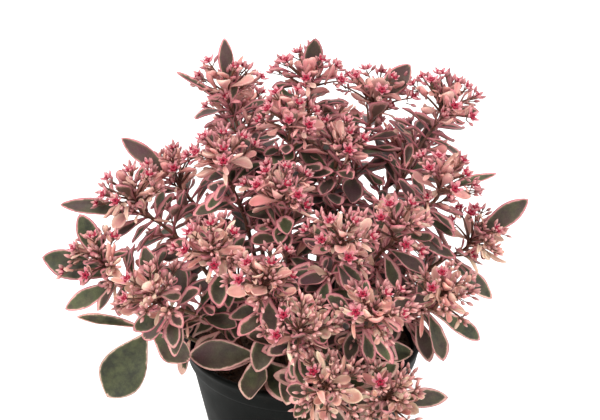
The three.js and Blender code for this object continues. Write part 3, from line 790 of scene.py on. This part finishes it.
def budMaterial():
    material, tree, c = startMaterial("dustyRoseBud", budPaint)
    grooveShade, along, _, _ = attribute(tree, "marks")
    blush, chance, shade, _ = attribute(tree, "hue")
    colour = ramp(tree, along, (0.1, c["foot"]), (0.36, c["middle"]), (0.85, c["tip"]))
    # painted shade: the grooves between the ribs are darkened towards the dark colour
    colour = blend(tree, times(tree, grooveShade, 0.7), colour, c["dark"])
    colour = blend(tree, times(tree, chance, 0.5), colour, c["middle"])
    colour = blend(tree, times(tree, blush, 0.5), colour, c["pink"])
    colour = brightened(tree, colour, plus(tree, times(tree, shade, 0.6), 0.68))
    return finishMaterial(material, colour, noise(tree, 1800.0, 3.0), 0.0001, 0.5)


petalPaint = {"tip": "#d99a9c", "middle": "#cb7a86", "throat": "#a3304e", "roughness": 0.5, "shine": 0.25,
              "glow": 0.1, "glowReach": (0.001, 0.0005, 0.0004)}


def petalMaterial():
    material, tree, c = startMaterial("palePinkPetal", petalPaint)
    margin, along, _, _ = attribute(tree, "marks")
    colour = ramp(tree, along, (0.1, c["throat"]), (0.4, c["middle"]), (0.85, c["tip"]))
    colour = blend(tree, ramp(tree, margin, (0.04, 0.0), (0.12, 0.5)), colour, c["middle"])
    colour = blend(tree, times(tree, noise(tree, 900.0, 3.0), 0.3), colour, c["middle"])
    return finishMaterial(material, colour, noise(tree, 2200.0, 3.0), 0.00008, 0.4)


throatPaint = {"deep": "#640a1d", "bright": "#9c1235", "roughness": 0.5, "shine": 0.3}


def throatMaterial():
    material, tree, c = startMaterial("crimsonCentre", throatPaint)
    along = attribute(tree, "marks")[1]
    colour = ramp(tree, along, (0.0, c["deep"]), (0.8, c["bright"]))
    colour = blend(tree, times(tree, noise(tree, 1200.0), 0.4), colour, c["deep"])
    return finishMaterial(material, colour, noise(tree, 2600.0), 0.00008, 0.5)


potPaint = {"plastic": "#030504", "scuffed": "#090d0b", "dust": "#262119", "shine": 0.07}
potRoughness = {"low": 0.48, "span": 0.22}


def potMaterial():
    material, tree, c = startMaterial("blackPotPlastic", potPaint)
    place = addNode(tree, "TexCoord").outputs["Object"]
    squeezed = addNode(tree, "Mapping", Vector=place, Scale=(1.0, 1.0, 0.25)).outputs[0]
    scuffs = ramp(tree, noise(tree, 220.0, 6.0, 0.7, squeezed), (0.5, 0.0), (0.78, 0.55))
    height = addNode(tree, "SeparateXYZ", Vector=place).outputs[2]
    nearRim = ramp(tree, times(tree, height, 8.0), (0.8, 0.0), (0.92, 1.0))
    dust = times(tree, ramp(tree, noise(tree, 420.0, 5.0, 0.7), (0.5, 0.0), (0.75, 0.4)), nearRim)
    colour = blend(tree, scuffs, c["plastic"], c["scuffed"])
    colour = blend(tree, dust, colour, c["dust"])
    rough = plus(tree, times(tree, noise(tree, 60.0, 4.0), potRoughness["span"]), potRoughness["low"])
    tree.links.new(rough, tree.nodes["Principled BSDF"].inputs["Roughness"])
    return finishMaterial(material, colour, noise(tree, 1600.0, 3.0), 0.0001, 0.35)


soilPaint = {"peat": "#22170f", "bark": "#472f20", "fibre": "#64482f", "roughness": 0.95, "shine": 0.2}


def soilMaterial():
    material, tree, c = startMaterial("peatAndBarkMix", soilPaint)
    chance = attribute(tree, "hue")[1]
    crumbs = noise(tree, 380.0, 6.0, 0.7)
    colour = ramp(tree, crumbs, (0.35, c["peat"]), (0.6, c["bark"]), (0.78, c["fibre"]))
    colour = blend(tree, times(tree, chance, 0.7), colour, c["peat"])
    return finishMaterial(material, colour, noise(tree, 700.0, 6.0, 0.7), 0.0008, 0.9)


leafSkin, stemSkin, bractSkin, budSkin = leafMaterial(), stemMaterial(), bractMaterial(), budMaterial()
petalSkin, throatSkin, potSkin, soilSkin = petalMaterial(), throatMaterial(), potMaterial(), soilMaterial()
plantSkins = [stemSkin, leafSkin, bractSkin, budSkin, petalSkin, throatSkin]
onStem, onLeaf, onBract, onBud, onPetal, onThroat = range(6)
print("materials mixed")


# The pot: a thin moulded shell with a rim band and drain holes

def handIn(piece, node):
    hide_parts(node)
    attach(piece, "root")


potShape = {"turns": 144, "drainHoles": 6, "drainRadius": 4.5, "drainRing": 39, "drainSides": 32}
plain = (0, 0, 0, 0)  # marks and hue of what needs none


def circle(radius, z, turns):
    angles = np.arange(turns) * 2 * math.pi / turns
    return np.stack([radius * np.cos(angles), radius * np.sin(angles), np.full(turns, z)], 1)


def turnedShell(name, profile, turns, material):
    rings = [circle(r, z, turns) for r, z in profile[1:-1]]
    points = np.concatenate(rings + [[[0, 0, profile[0][1]]], [[0, 0, profile[-1][1]]]])
    heap = Heap()
    heap.add(points, facesOfSkin(len(rings), turns, "point", "point"), 0, plain, plain)
    return heap.make(name, [material])


def makePot():
    p, s = potPlan, potShape

    def bandAt(z):
        return float(potWallAt(z))

    def wallAt(z):
        return bandAt(z) - p["bandStep"]
    bandFoot = p["height"] - p["bandHeight"]
    rim, top, floor = p["rimRadius"], p["height"], p["floor"]
    foot, inner, floorEdge = wallAt(0), wallAt(top) - p["wall"], wallAt(p["floor"]) - p["wall"]
    profile = [(0, 0), (foot - 3.2, 0), (foot - 2, 0), (wallAt(0.8) - 0.7, 0.7)]
    profile += [(wallAt(2.5), 2.5), (wallAt(3.5), 3.5)]
    profile += [(wallAt(z), z) for z in np.linspace(12, bandFoot - 1.2, 10)]
    profile += [(wallAt(bandFoot) + 0.05, bandFoot - 0.4), (wallAt(bandFoot) + 0.5, bandFoot - 0.05)]
    profile += [(bandAt(bandFoot) - 0.3, bandFoot + 0.35), (bandAt(bandFoot) + 0.1, bandFoot + 1.0)]
    profile += [(bandAt(z), z) for z in np.linspace(bandFoot + 2, top - 3.4, 4)]
    profile += [(rim - 0.05, top - 2.6), (rim, top - 1.6), (rim - 0.25, top - 0.7), (rim - 0.9, top - 0.12)]
    profile += [(rim - 1.6, top), (inner + 0.6, top), (inner + 0.12, top - 0.3), (inner, top - 1.2)]
    profile += [(wallAt(z) - p["wall"], z) for z in np.linspace(top - 4, floor + 2, 8)]
    profile += [(floorEdge - 0.4, floor + 0.3), (floorEdge - 1.2, floor), (0, floor)]
    pot = turnedShell("nurseryPot", profile, s["turns"], potSkin)
    cutters = []
    for k in range(s["drainHoles"]):
        angle = 2 * math.pi * (k + 0.5) / s["drainHoles"]
        heap = Heap()
        at = vec(math.cos(angle), math.sin(angle), 0) * s["drainRing"]
        tube(heap, [at - up * 3, at + up * 6], [s["drainRadius"]] * 2, s["drainSides"], 0, plain)
        cutters.append(heap.make("drainCutter" + str(k), []))
    for cutter in cutters:
        cut = pot.modifiers.new("drain", "BOOLEAN")
        cut.operation, cut.solver, cut.object = "DIFFERENCE", "EXACT", cutter
    depsgraph = bpy.context.evaluated_depsgraph_get()
    drained = bpy.data.meshes.new_from_object(pot.evaluated_get(depsgraph))
    pot.modifiers.clear()
    pot.data = drained
    for cutter in cutters:
        bpy.data.objects.remove(cutter)
    handIn(pot, "pot")


makePot()
print("pot turned")


# The soil: a crumbly bed just below the rim

soilShape = {"rings": 46, "turns": 120, "crumbs": 620, "crumbSize": (0.7, 2.2), "seed": 11,
             "crumbLevels": ((0.6, -0.6), (1, 0.1), (0.5, 0.7))}  # width and height of each ring of a crumb


def soilLump(x, y):
    return soilPlan["lump"] * 0.5 * (np.sin(x * 0.21 + 1.3) * np.cos(y * 0.17) + np.sin(y * 0.29 + x * 0.11))


def soilHeight(x, y):
    fine = 0.28 * np.sin(x * 1.7 + 0.6 * y) * np.cos(y * 1.3 - 0.4 * x)
    fine = fine + 0.2 * np.sin(x * 3.1 - y * 2.3) + 0.12 * np.sin(x * 5.3 + y * 4.7)
    return soilPlan["top"] + soilLump(x, y) + fine - 0.3


def makeSoil():
    p, s = potPlan, soilShape
    rng = random.Random(s["seed"])

    def innerAt(z):
        return float(potWallAt(z)) - p["bandStep"] - p["wall"] - 0.4
    edge = innerAt(soilPlan["top"]) - 0.5
    bottom = p["floor"] + 0.4
    low, middle = (innerAt(bottom) - 0.6, bottom), (innerAt(60) - 0.6, 60.0)
    rings = [circle(r, z, s["turns"]) for r, z in (low, middle, (edge, soilPlan["top"] - 3))]
    for k in range(s["rings"], 0, -1):
        ring = circle(edge * k / s["rings"], 0, s["turns"])
        rings.append(np.stack([ring[:, 0], ring[:, 1], soilHeight(ring[:, 0], ring[:, 1])], 1))
    centre = np.array([[0, 0, bottom], [0, 0, float(soilHeight(0.0, 0.0))]])
    heap = Heap()
    faces = facesOfSkin(len(rings), s["turns"], "point", "point")
    heap.add(np.concatenate(rings + [centre]), faces, 0, plain, (0, 0.3, 0.5, 0))
    for _ in range(s["crumbs"]):
        radius, angle = edge * math.sqrt(rng.random()) * 0.97, rng.random() * 2 * math.pi
        size = within(s["crumbSize"], rng.random() ** 2)
        x, y = radius * math.cos(angle), radius * math.sin(angle)
        long = size * (1 + 1.6 * rng.random() ** 3)
        lying = vec(rng.random() - 0.5, rng.random() - 0.5, 0.5 * (rng.random() - 0.5))
        axes = aimed(lying, rng.random() * 6.28)
        ring = []
        for angle in np.arange(6) * 1.0472:
            broad, flat = 0.7 + 0.5 * rng.random(), 0.5 + 0.4 * rng.random()
            ring.append((math.cos(angle) * size * broad, math.sin(angle) * size * flat))
        levels = s["crumbLevels"]
        chip = np.array([[u * wide, v * wide, long * rise] for wide, rise in levels for u, v in ring])
        foot = vec(x, y, float(soilHeight(x, y)) + size * 0.15)
        hue = (0, rng.random(), rng.random(), 0)
        heap.add(chip @ axes + foot, facesOfSkin(3, 6, "flat", "flat"), 0, plain, hue)
    handIn(heap.make("pottingSoil", [soilSkin]), "potting_soil")


makeSoil()
print("soil filled")


# Buds, star flowers and forked stalks

stalkShape = {"thick": (0.85, 0.45), "fine": (0.36, 0.28), "young": (0.5, 0.32), "side": (0.42, 0.34),
              "sides": 5, "steps": 5, "sag": 0.12}  # the pairs are radii at foot and tip
stalkHue = (1, 0.5, 0.5, 0)
budShape = {"rings": 6, "sides": 8, "rib": 0.1, "radius": 1.1, "length": 5.8, "cluster": 5, "fewer": 3,
            "clusterTurn": 38, "young": 12, "youngLength": 4}
petalLook = {"rows": 5, "columns": 5, "thick": 0.6, "cup": 0.45, "crease": 0.1, "wave": 0.0, "waves": 1.0,
             "twist": 0.2, "veer": 0.05, "curl": 0.4, "petiole": 0.5, "round": 1.0, "blunt": 0.2}
flowerShape = {"petals": 5, "open": 50, "petalWidth": 2.7, "carpel": (1.2, 1.2, 2.7), "stamens": 5,
               "anther": (0.36, 0.36, 0.8), "filament": (0.16, 0.13, 0.12)}
petalForm = {"peak": 1.0, "bend": -0.35, "freeFrom": 0}


def budTemplate(rings, sides, rib):  # a teardrop with 5 faint ribs, 1 long and 1 in radius
    turns = np.arange(sides) * 2 * math.pi / sides
    points, marks = [], []
    for k in range(rings):
        t = k / rings
        if t < 0.42:
            radius = 0.3 + 0.7 * math.sin(math.pi / 2 * t / 0.42)
        else:
            radius = math.cos(math.pi / 2 * (t - 0.42) / 0.6) ** 0.85
        ribbed = radius * (1 + rib * np.cos(5 * turns) * math.sin(math.pi * t))
        level, none = np.full(sides, t), np.zeros(sides)
        points.append(np.stack([ribbed * np.cos(turns), ribbed * np.sin(turns), level], 1))
        # the first mark is 1 down each groove between the ribs, where the bud material paints shade
        marks.append(np.stack([np.maximum(0, -np.cos(5 * turns)), level, none, none], 1))
    faces = facesOfSkin(rings, sides, "flat", "point")
    return np.concatenate(points + [[[0, 0, 1.0]]]), faces, np.concatenate(marks + [[[0, 1, 0, 0]]])


budForm = budTemplate(budShape["rings"], budShape["sides"], budShape["rib"])
pipForm = budTemplate(3, 5, 0.0)  # the carpels and anthers


def addPart(heap, form, foot, axes, size, kind, hue):
    points, faces, marks = form
    heap.add((points * size) @ axes + foot, faces, kind, marks, hue)


def climbed(z, low, high):
    return min(1, max(0, (z - low) / (high - low)))


def pinkAt(z):  # low heads are salmon and cream, high ones pink
    return climbed(z, 172, 252)


def addBud(heap, foot, direction, length, radius, rng):
    hue = (pinkAt(foot[2]), rng.random(), rng.random(), 0)
    if roomAhead(foot, unit(direction), length + 3) < length:
        return
    axes = aimed(direction, rng.random() * 6.28)
    addPart(heap, budForm, foot, axes, vec(radius, radius, length), onBud, hue)


def addVariedBud(heap, foot, direction, shorter, thinner, rng):
    s = budShape
    length = s["length"] * (shorter + (1 - shorter) * rng.random())
    addBud(heap, foot, direction, length, s["radius"] * (thinner + (1 - thinner) * rng.random()), rng)


def addStalk(heap, start, end, ahead, thickness):
    s = stalkShape
    reach = math.dist(start, end)
    middle = (start + end) / 2 + unit(ahead) * reach * s["sag"] - up * reach * 0.05
    ts = np.linspace(0, 1, s["steps"])[:, None]
    path = start * (1 - ts) ** 2 + middle * 2 * ts * (1 - ts) + end * ts ** 2
    tube(heap, path, within(thickness, ts[:, 0]), s["sides"], onStem, stalkHue)


def addFlower(heap, flower, rng, share=1.0):
    s = flowerShape
    axes = aimed(flower["facing"], rng.random() * 6.28)
    centre = flower["tip"] + flower["facing"] * 0.9
    opening = math.radians(s["open"] + 18 * rng.random())
    size = (0.9 + 0.15 * rng.random()) * share
    hue = (0, rng.random(), rng.random(), 0)
    for k in range(s["petals"]):
        turn = 2 * math.pi * k / s["petals"] + 0.15 * (rng.random() - 0.5)
        out = axes[0] * math.cos(turn) + axes[1] * math.sin(turn)
        direction = axes[2] * math.cos(opening) + out * math.sin(opening)
        face = axes[2] * math.sin(opening) - out * math.cos(opening)
        petal = {"form": petalForm, "root": centre + out * 0.5, "direction": direction, "face": face,
                 "length": flowerPlan["radius"] * 1.05 * size, "width": s["petalWidth"] * size}
        bladeSkin(heap, petal, petalLook, onPetal, hue, rng)
        away = axes[2] * 0.9 + out * 0.5
        addPart(heap, pipForm, centre + out * 0.8, aimed(away), s["carpel"], onThroat, hue)
    for k in range(s["stamens"] if share == 1 else 0):
        turn = 2 * math.pi * (k + 0.5) / s["stamens"]
        out = axes[0] * math.cos(turn) + axes[1] * math.sin(turn)
        foot = centre + out * 1.2
        top = centre + out * 2.1 + axes[2] * 3.0
        tube(heap, [foot, (foot + top) / 2 - out * 0.12, top], s["filament"], 4, onPetal, hue)
        addPart(heap, pipForm, top - axes[2] * 0.2, aimed(out + axes[2]), s["anther"], onThroat, hue)


def leaning(direction, angle, turn):
    axes = aimed(direction, turn)
    return unit(axes[2] * math.cos(math.radians(angle)) + axes[0] * math.sin(math.radians(angle)))


def addBudCluster(heap, ray, rng, count):
    s = budShape
    tip, facing = ray["tip"], ray["facing"]
    addBud(heap, tip, facing, s["length"] * (0.9 + 0.2 * rng.random()), s["radius"], rng)
    for k in range(count):
        lean = s["clusterTurn"] + 22 * (rng.random() - 0.5)
        direction = leaning(facing, lean, (k + rng.random() * 0.6) * 6.28 / count)
        fork = tip - facing * (2 + 3.5 * rng.random())
        foot = fork + direction * (2.8 + 2.6 * rng.random())
        addStalk(heap, fork, foot, direction, stalkShape["fine"])
        addVariedBud(heap, foot, direction, 0.7, 0.75, rng)


# Leafy stems and short shoots

stemShape = {"radii": (1.8, 0.95), "sides": 10, "steps": 30, "knuckle": 0.3, "wander": 0.5}
leafLook = {"rows": 14, "columns": 9, "thick": 1.4, "cup": 0.3, "crease": 0.3, "wave": 0.12, "waves": 1.8,
            "twist": 0.9, "veer": 0.16, "curl": 0.5, "petiole": 1.0, "round": 1.1, "blunt": 0.15}
bractLook = {"rows": 8, "columns": 7, "thick": 1.1, "cup": 0.5, "crease": 0.2, "wave": 0.16, "waves": 1.4,
             "twist": 1.0, "veer": 0.25, "curl": 0.9, "petiole": 0.8, "round": 1.05, "blunt": 0.3}
markedLook = {**leafLook, "veer": 0.06, "curl": 0.25, "twist": 0.5}
hookLook = {"rows": 11, "columns": 5, "thick": 0.9, "cup": 0.7, "crease": 0.2, "wave": 0.1, "waves": 1.2,
            "twist": 1.4, "veer": 0.5, "curl": 2.2, "petiole": 0.8, "round": 1.0, "blunt": 0.3}
sprayShape = {"length": (11, 18), "open": 38, "side": 25, "stalk": (0.8, 0.5),
              "buds": (7, 4, 0),  # at the first three leaf pairs from the top down, as are the bracts
              "bracts": (("spoon", "spoon", "hook"), ("leafy", "spoon", "leafy"), ("leafy",) * 3)}


def leafHue(z, rng, marked=False):  # blush, chance, shade and how wide the pale margin is, in cm
    if marked:
        width = 0.07 + 0.05 * rng.random()
    else:
        width = 0.09 + 0.12 * rng.random() + 0.13 * rng.random() * (z < 150)
    blush = climbed(z, 112, 192) * 0.75 + 0.25 * rng.random()  # low leaves are green, high ones plum
    return blush, rng.random(), rng.random(), width


def growStem(heap, stem, rng):
    s = stemShape
    route = stem["route"]
    ts = np.linspace(0, 1, s["steps"])
    phase = rng.random() * 6.28
    sideways = unit(np.cross(route.heading(0.5), up) + vec(0.001, 0, 0))
    path = [route.at(t) + sideways * (s["wander"] * math.sin(5.5 * t + phase) * math.sin(math.pi * t))
            for t in ts]
    joints = [along for along, _ in stem.get("pairs", [])]
    radii = []
    for t in ts:
        bulge = sum(math.exp(-((t - j) / 0.02) ** 2) for j in joints)
        radii.append(within(s["radii"], t) + s["knuckle"] * bulge)
    blush = climbed(route.tip[2], 140, 210)
    tube(heap, path, radii, s["sides"], onStem, (blush, rng.random(), rng.random(), 0))
    for leaf in stem["leaves"] + stem.get("small", []):
        middleHeight = leaf["root"][2] + leaf["direction"][2] * leaf["length"] * 0.5
        look = markedLook if leaf["marked"] else leafLook
        bladeSkin(heap, leaf, look, onLeaf, leafHue(middleHeight, rng, leaf["marked"]), rng)
    for level, along in enumerate(joints[:3]):
        for half in (0, 1):
            around = 90 * level + 90 + 180 * half + 50 * (rng.random() - 0.5)
            growSpray(heap, route, along, around, level, rng)


def growSpray(heap, route, along, around, level, rng):  # a side shoot where a leaf meets its stem
    s = sprayShape
    forward = route.heading(along)
    across = squareTo(forward, vec(0.3, 0.2, 1))
    outward = turned(across, np.cross(forward, across), around)
    ahead = turned(forward, outward, s["open"] + s["side"] * (rng.random() - 0.5))
    length = within(s["length"], rng.random())
    root = route.at(along)
    if roomAhead(root, ahead, length + 10) < length + 10:
        return
    tip = root + ahead * length + up * 1.5
    addStalk(heap, root, tip, ahead, s["stalk"])
    if level == 0 and rng.random() < pinkAt(tip[2]) + 0.15:
        addFlower(heap, {"tip": tip + ahead * 2, "facing": mixed(ahead, up, 0.2)}, rng, 0.75)
    for k in range(s["buds"][level]):
        direction = leaning(ahead, 12 + 26 * rng.random(), k * 6.28 / s["buds"][level])
        foot = tip + direction * (1.2 + 3 * rng.random())
        addStalk(heap, tip - ahead * 1.5, foot, direction, stalkShape["fine"])
        addVariedBud(heap, foot, direction, 0.7, 0.8, rng)
    for k in range(3):
        direction = leaning(ahead, 30 + 25 * rng.random(), k * 2.1 + rng.random())
        addBract(heap, root + (tip - root) * (0.5 + 0.13 * k), direction, ahead, s["bracts"][level][k], rng)


bractForms = {  # length, width as a share of it, and how many in 1 are small leaves with a dark heart
    "spoon": {"length": (9, 17), "width": (0.42, 0.56), "leaves": 0.5, "look": bractLook},
    "broad": {"length": (10, 15), "width": (0.5, 0.64), "leaves": 0.1, "look": bractLook},
    "hook": {"length": (12, 20), "width": (0.17, 0.25), "leaves": 0.1, "look": hookLook},
    "leafy": {"length": (15, 22), "width": (0.44, 0.56), "leaves": 0.9, "look": bractLook},
    "tiny": {"length": (5, 9), "width": (0.42, 0.6), "leaves": 0.15, "look": bractLook}}


def addBract(heap, root, direction, face, kind, rng):
    form = bractForms[kind]
    length = roomAhead(root, direction, within(form["length"], rng.random()))
    if length < 4:
        return
    blade = {"form": bractPlan, "root": root, "direction": direction, "face": squareTo(direction, face),
             "length": length, "width": length * within(form["width"], rng.random())}
    isLeaf = rng.random() < form["leaves"]
    hue = leafHue(root[2] + 15, rng) if isLeaf else (pinkAt(root[2]), rng.random(), rng.random(), 0)
    bladeSkin(heap, blade, form["look"], onLeaf if isLeaf else onBract, hue, rng)


def makeStems():
    for group, node, piece in ((stems, "leafy_stem", "leafyStem"), (shoots, "leafy_shoot", "leafyShoot")):
        for i, stem in enumerate(group):
            heap = Heap()
            growStem(heap, stem, random.Random(401 + 17 * i + len(group)))
            handIn(heap.make(f"{piece}{i + 1:02d}", plantSkins), f"{node}_{i + 1:02d}")


makeStems()
print("stems and shoots grown")


# Flower heads

headShape = {"coreRadii": (1.1, 1.25, 1.2, 1.1, 0.8), "coreSides": 10, "smallFlower": 0.78, "leafBracts": 0.3}
headBracts = ["spoon"] * 11 + ["broad"] * 6 + ["hook"] * 6  # between the stalks of each head


def growHead(heap, head, rng):
    s = budShape
    base, axis, forward = head["base"], head["axis"], head["forward"]
    core = headPlan["core"]
    knot = base + axis * core * 0.8
    bend = base + forward * 1.5
    path = [base, bend + axis * 1, bend + axis * core * 0.3, base + axis * core * 0.55, knot]
    tube(heap, path, headShape["coreRadii"], headShape["coreSides"], onStem, stalkHue)
    rays = head["buds"] + head["flowers"]
    for ray in rays:
        addStalk(heap, ray["root"], ray["tip"] + ray["facing"] * 0.2, axis, stalkShape["thick"])
    for k, ray in enumerate(head["buds"]):
        if k % 3 < 2 * pinkAt(base[2]) - 0.1:
            addFlower(heap, ray, rng, headShape["smallFlower"])
            addBudCluster(heap, ray, rng, s["fewer"])
        else:
            addBudCluster(heap, ray, rng, s["cluster"])
    for ray in head["flowers"]:
        addFlower(heap, ray, rng)
        for k in range(2):
            direction = leaning(ray["facing"], 52, (k + 0.6 * rng.random()) * 3.14)
            fork = ray["tip"] - ray["facing"] * (3 + 2 * rng.random())
            addStalk(heap, fork, fork + direction * 4.0, direction, stalkShape["side"])
            addBud(heap, fork + direction * 3.8, direction, s["length"] * 0.9, s["radius"] * 0.95, rng)
    for k in range(s["young"]):
        out = turned(head["across"], head["side"], k * goldenTurn)
        direction = unit(turned(axis, out, 8 + 62 * math.sqrt((k + 0.3) / s["young"])))
        foot = knot + direction * (3 + 4.5 * rng.random())
        addStalk(heap, knot, foot, axis, stalkShape["young"])
        length = s["youngLength"] * (0.85 + 0.4 * rng.random())
        addBud(heap, foot, direction, length, s["radius"] * (0.75 + 0.2 * rng.random()), rng)
    for bract in head["bracts"]:
        isLeaf = bract["marked"] or rng.random() < headShape["leafBracts"]
        z = bract["root"][2] + 20
        hue = leafHue(z, rng, bract["marked"]) if isLeaf else (pinkAt(z), rng.random(), rng.random(), 0)
        look = markedLook if bract["marked"] else bractLook
        bladeSkin(heap, bract, look, onLeaf if isLeaf else onBract, hue, rng)
    for k, kind in enumerate(headBracts):
        ray = rays[(k * 5 + 2) % len(rays)]
        root = ray["root"] + (ray["tip"] - ray["root"]) * (0.2 + 0.35 * rng.random())
        ahead = unit(ray["tip"] - ray["root"])
        direction = leaning(ahead, 30 + 30 * rng.random(), rng.random() * 6.28)
        addBract(heap, root, mixed(direction, axis, 0.3), axis, kind, rng)
    for ray in rays:
        ahead = unit(ray["tip"] - ray["root"])
        direction = leaning(ahead, 30 + 22 * rng.random(), rng.random() * 6.28)
        addBract(heap, ray["tip"] - ahead * (3 + 3 * rng.random()), direction, ahead, "tiny", rng)


def makeHeads():
    for i, head in enumerate(heads):
        heap = Heap()
        growHead(heap, head, random.Random(907 + 31 * i))
        handIn(heap.make(f"flowerHead{i + 1:02d}", plantSkins), f"flower_head_{i + 1:02d}")


makeHeads()
print("flower heads opened")


# Studio: pale floor, soft light, and the camera where the photo was taken from

floorPaint = {"pale": "#fdfdfc", "roughness": 0.9, "shine": 0.1}
studio = {"floorSize": 8.0, "sky": 1.3, "camera": (-0.0016, -0.8599, 0.6255), "pitch": 26.2, "lens": 92.34,
          "sensor": 36.0, "lit": (0, 0, 0.15)}
softboxes = (  # name, place, size, power, colour
    ("keySoftbox", (-0.9, -1.0, 1.7), 1.0, 26.0, (1.0, 0.98, 0.95)),
    ("fillSoftbox", (1.3, -0.7, 1.1), 1.4, 7.0, (0.97, 0.98, 1.0)),
    ("topSoftbox", (0.1, 0.5, 1.9), 1.2, 11.0, (1, 1, 1)),
)


def areaLight(name, place, size, power, colour):
    lamp = bpy.data.lights.new(name, "AREA")
    lamp.shape, lamp.size, lamp.energy, lamp.color = "DISK", size, power, colour
    holder = bpy.data.objects.new(name, lamp)
    holder.location = place
    axes = aimed(np.array(place) - np.array(studio["lit"]))
    holder.rotation_euler = Matrix(axes.tolist()).transposed().to_euler()
    bpy.context.scene.collection.objects.link(holder)


def makeFloor():
    half = studio["floorSize"] / 2
    mesh = bpy.data.meshes.new("studioFloor")
    corners = [(-half, -half, 0), (half, -half, 0), (half, half, 0), (-half, half, 0)]
    mesh.from_pydata(corners, [], [(0, 1, 2, 3)])
    material, tree, colours = startMaterial("paleFloor", floorPaint)
    tree.nodes["Principled BSDF"].inputs["Base Color"].default_value = colours["pale"]
    mesh.materials.append(material)
    floor = bpy.data.objects.new("studioFloor", mesh)
    bpy.context.scene.collection.objects.link(floor)


def makeStudio():
    s = studio
    scene = bpy.context.scene
    makeFloor()
    world = bpy.data.worlds.new("softSky")
    world.use_nodes = True
    world.node_tree.nodes["Background"].inputs["Color"].default_value = (1, 1, 1, 1)
    world.node_tree.nodes["Background"].inputs["Strength"].default_value = s["sky"]
    scene.world = world
    for softbox in softboxes:
        areaLight(*softbox)
    lens = bpy.data.cameras.new("photoCamera")
    lens.lens, lens.sensor_width = s["lens"], s["sensor"]
    camera = bpy.data.objects.new("photoCamera", lens)
    camera.location = s["camera"]
    camera.rotation_euler = (math.radians(90 - s["pitch"]), 0, 0)
    scene.collection.objects.link(camera)
    scene.camera = camera
    scene.view_settings.view_transform = "Standard"


makeStudio()
print("studio lit;", sum(triangles.values()), "triangles, most in one piece", max(triangles.values()))
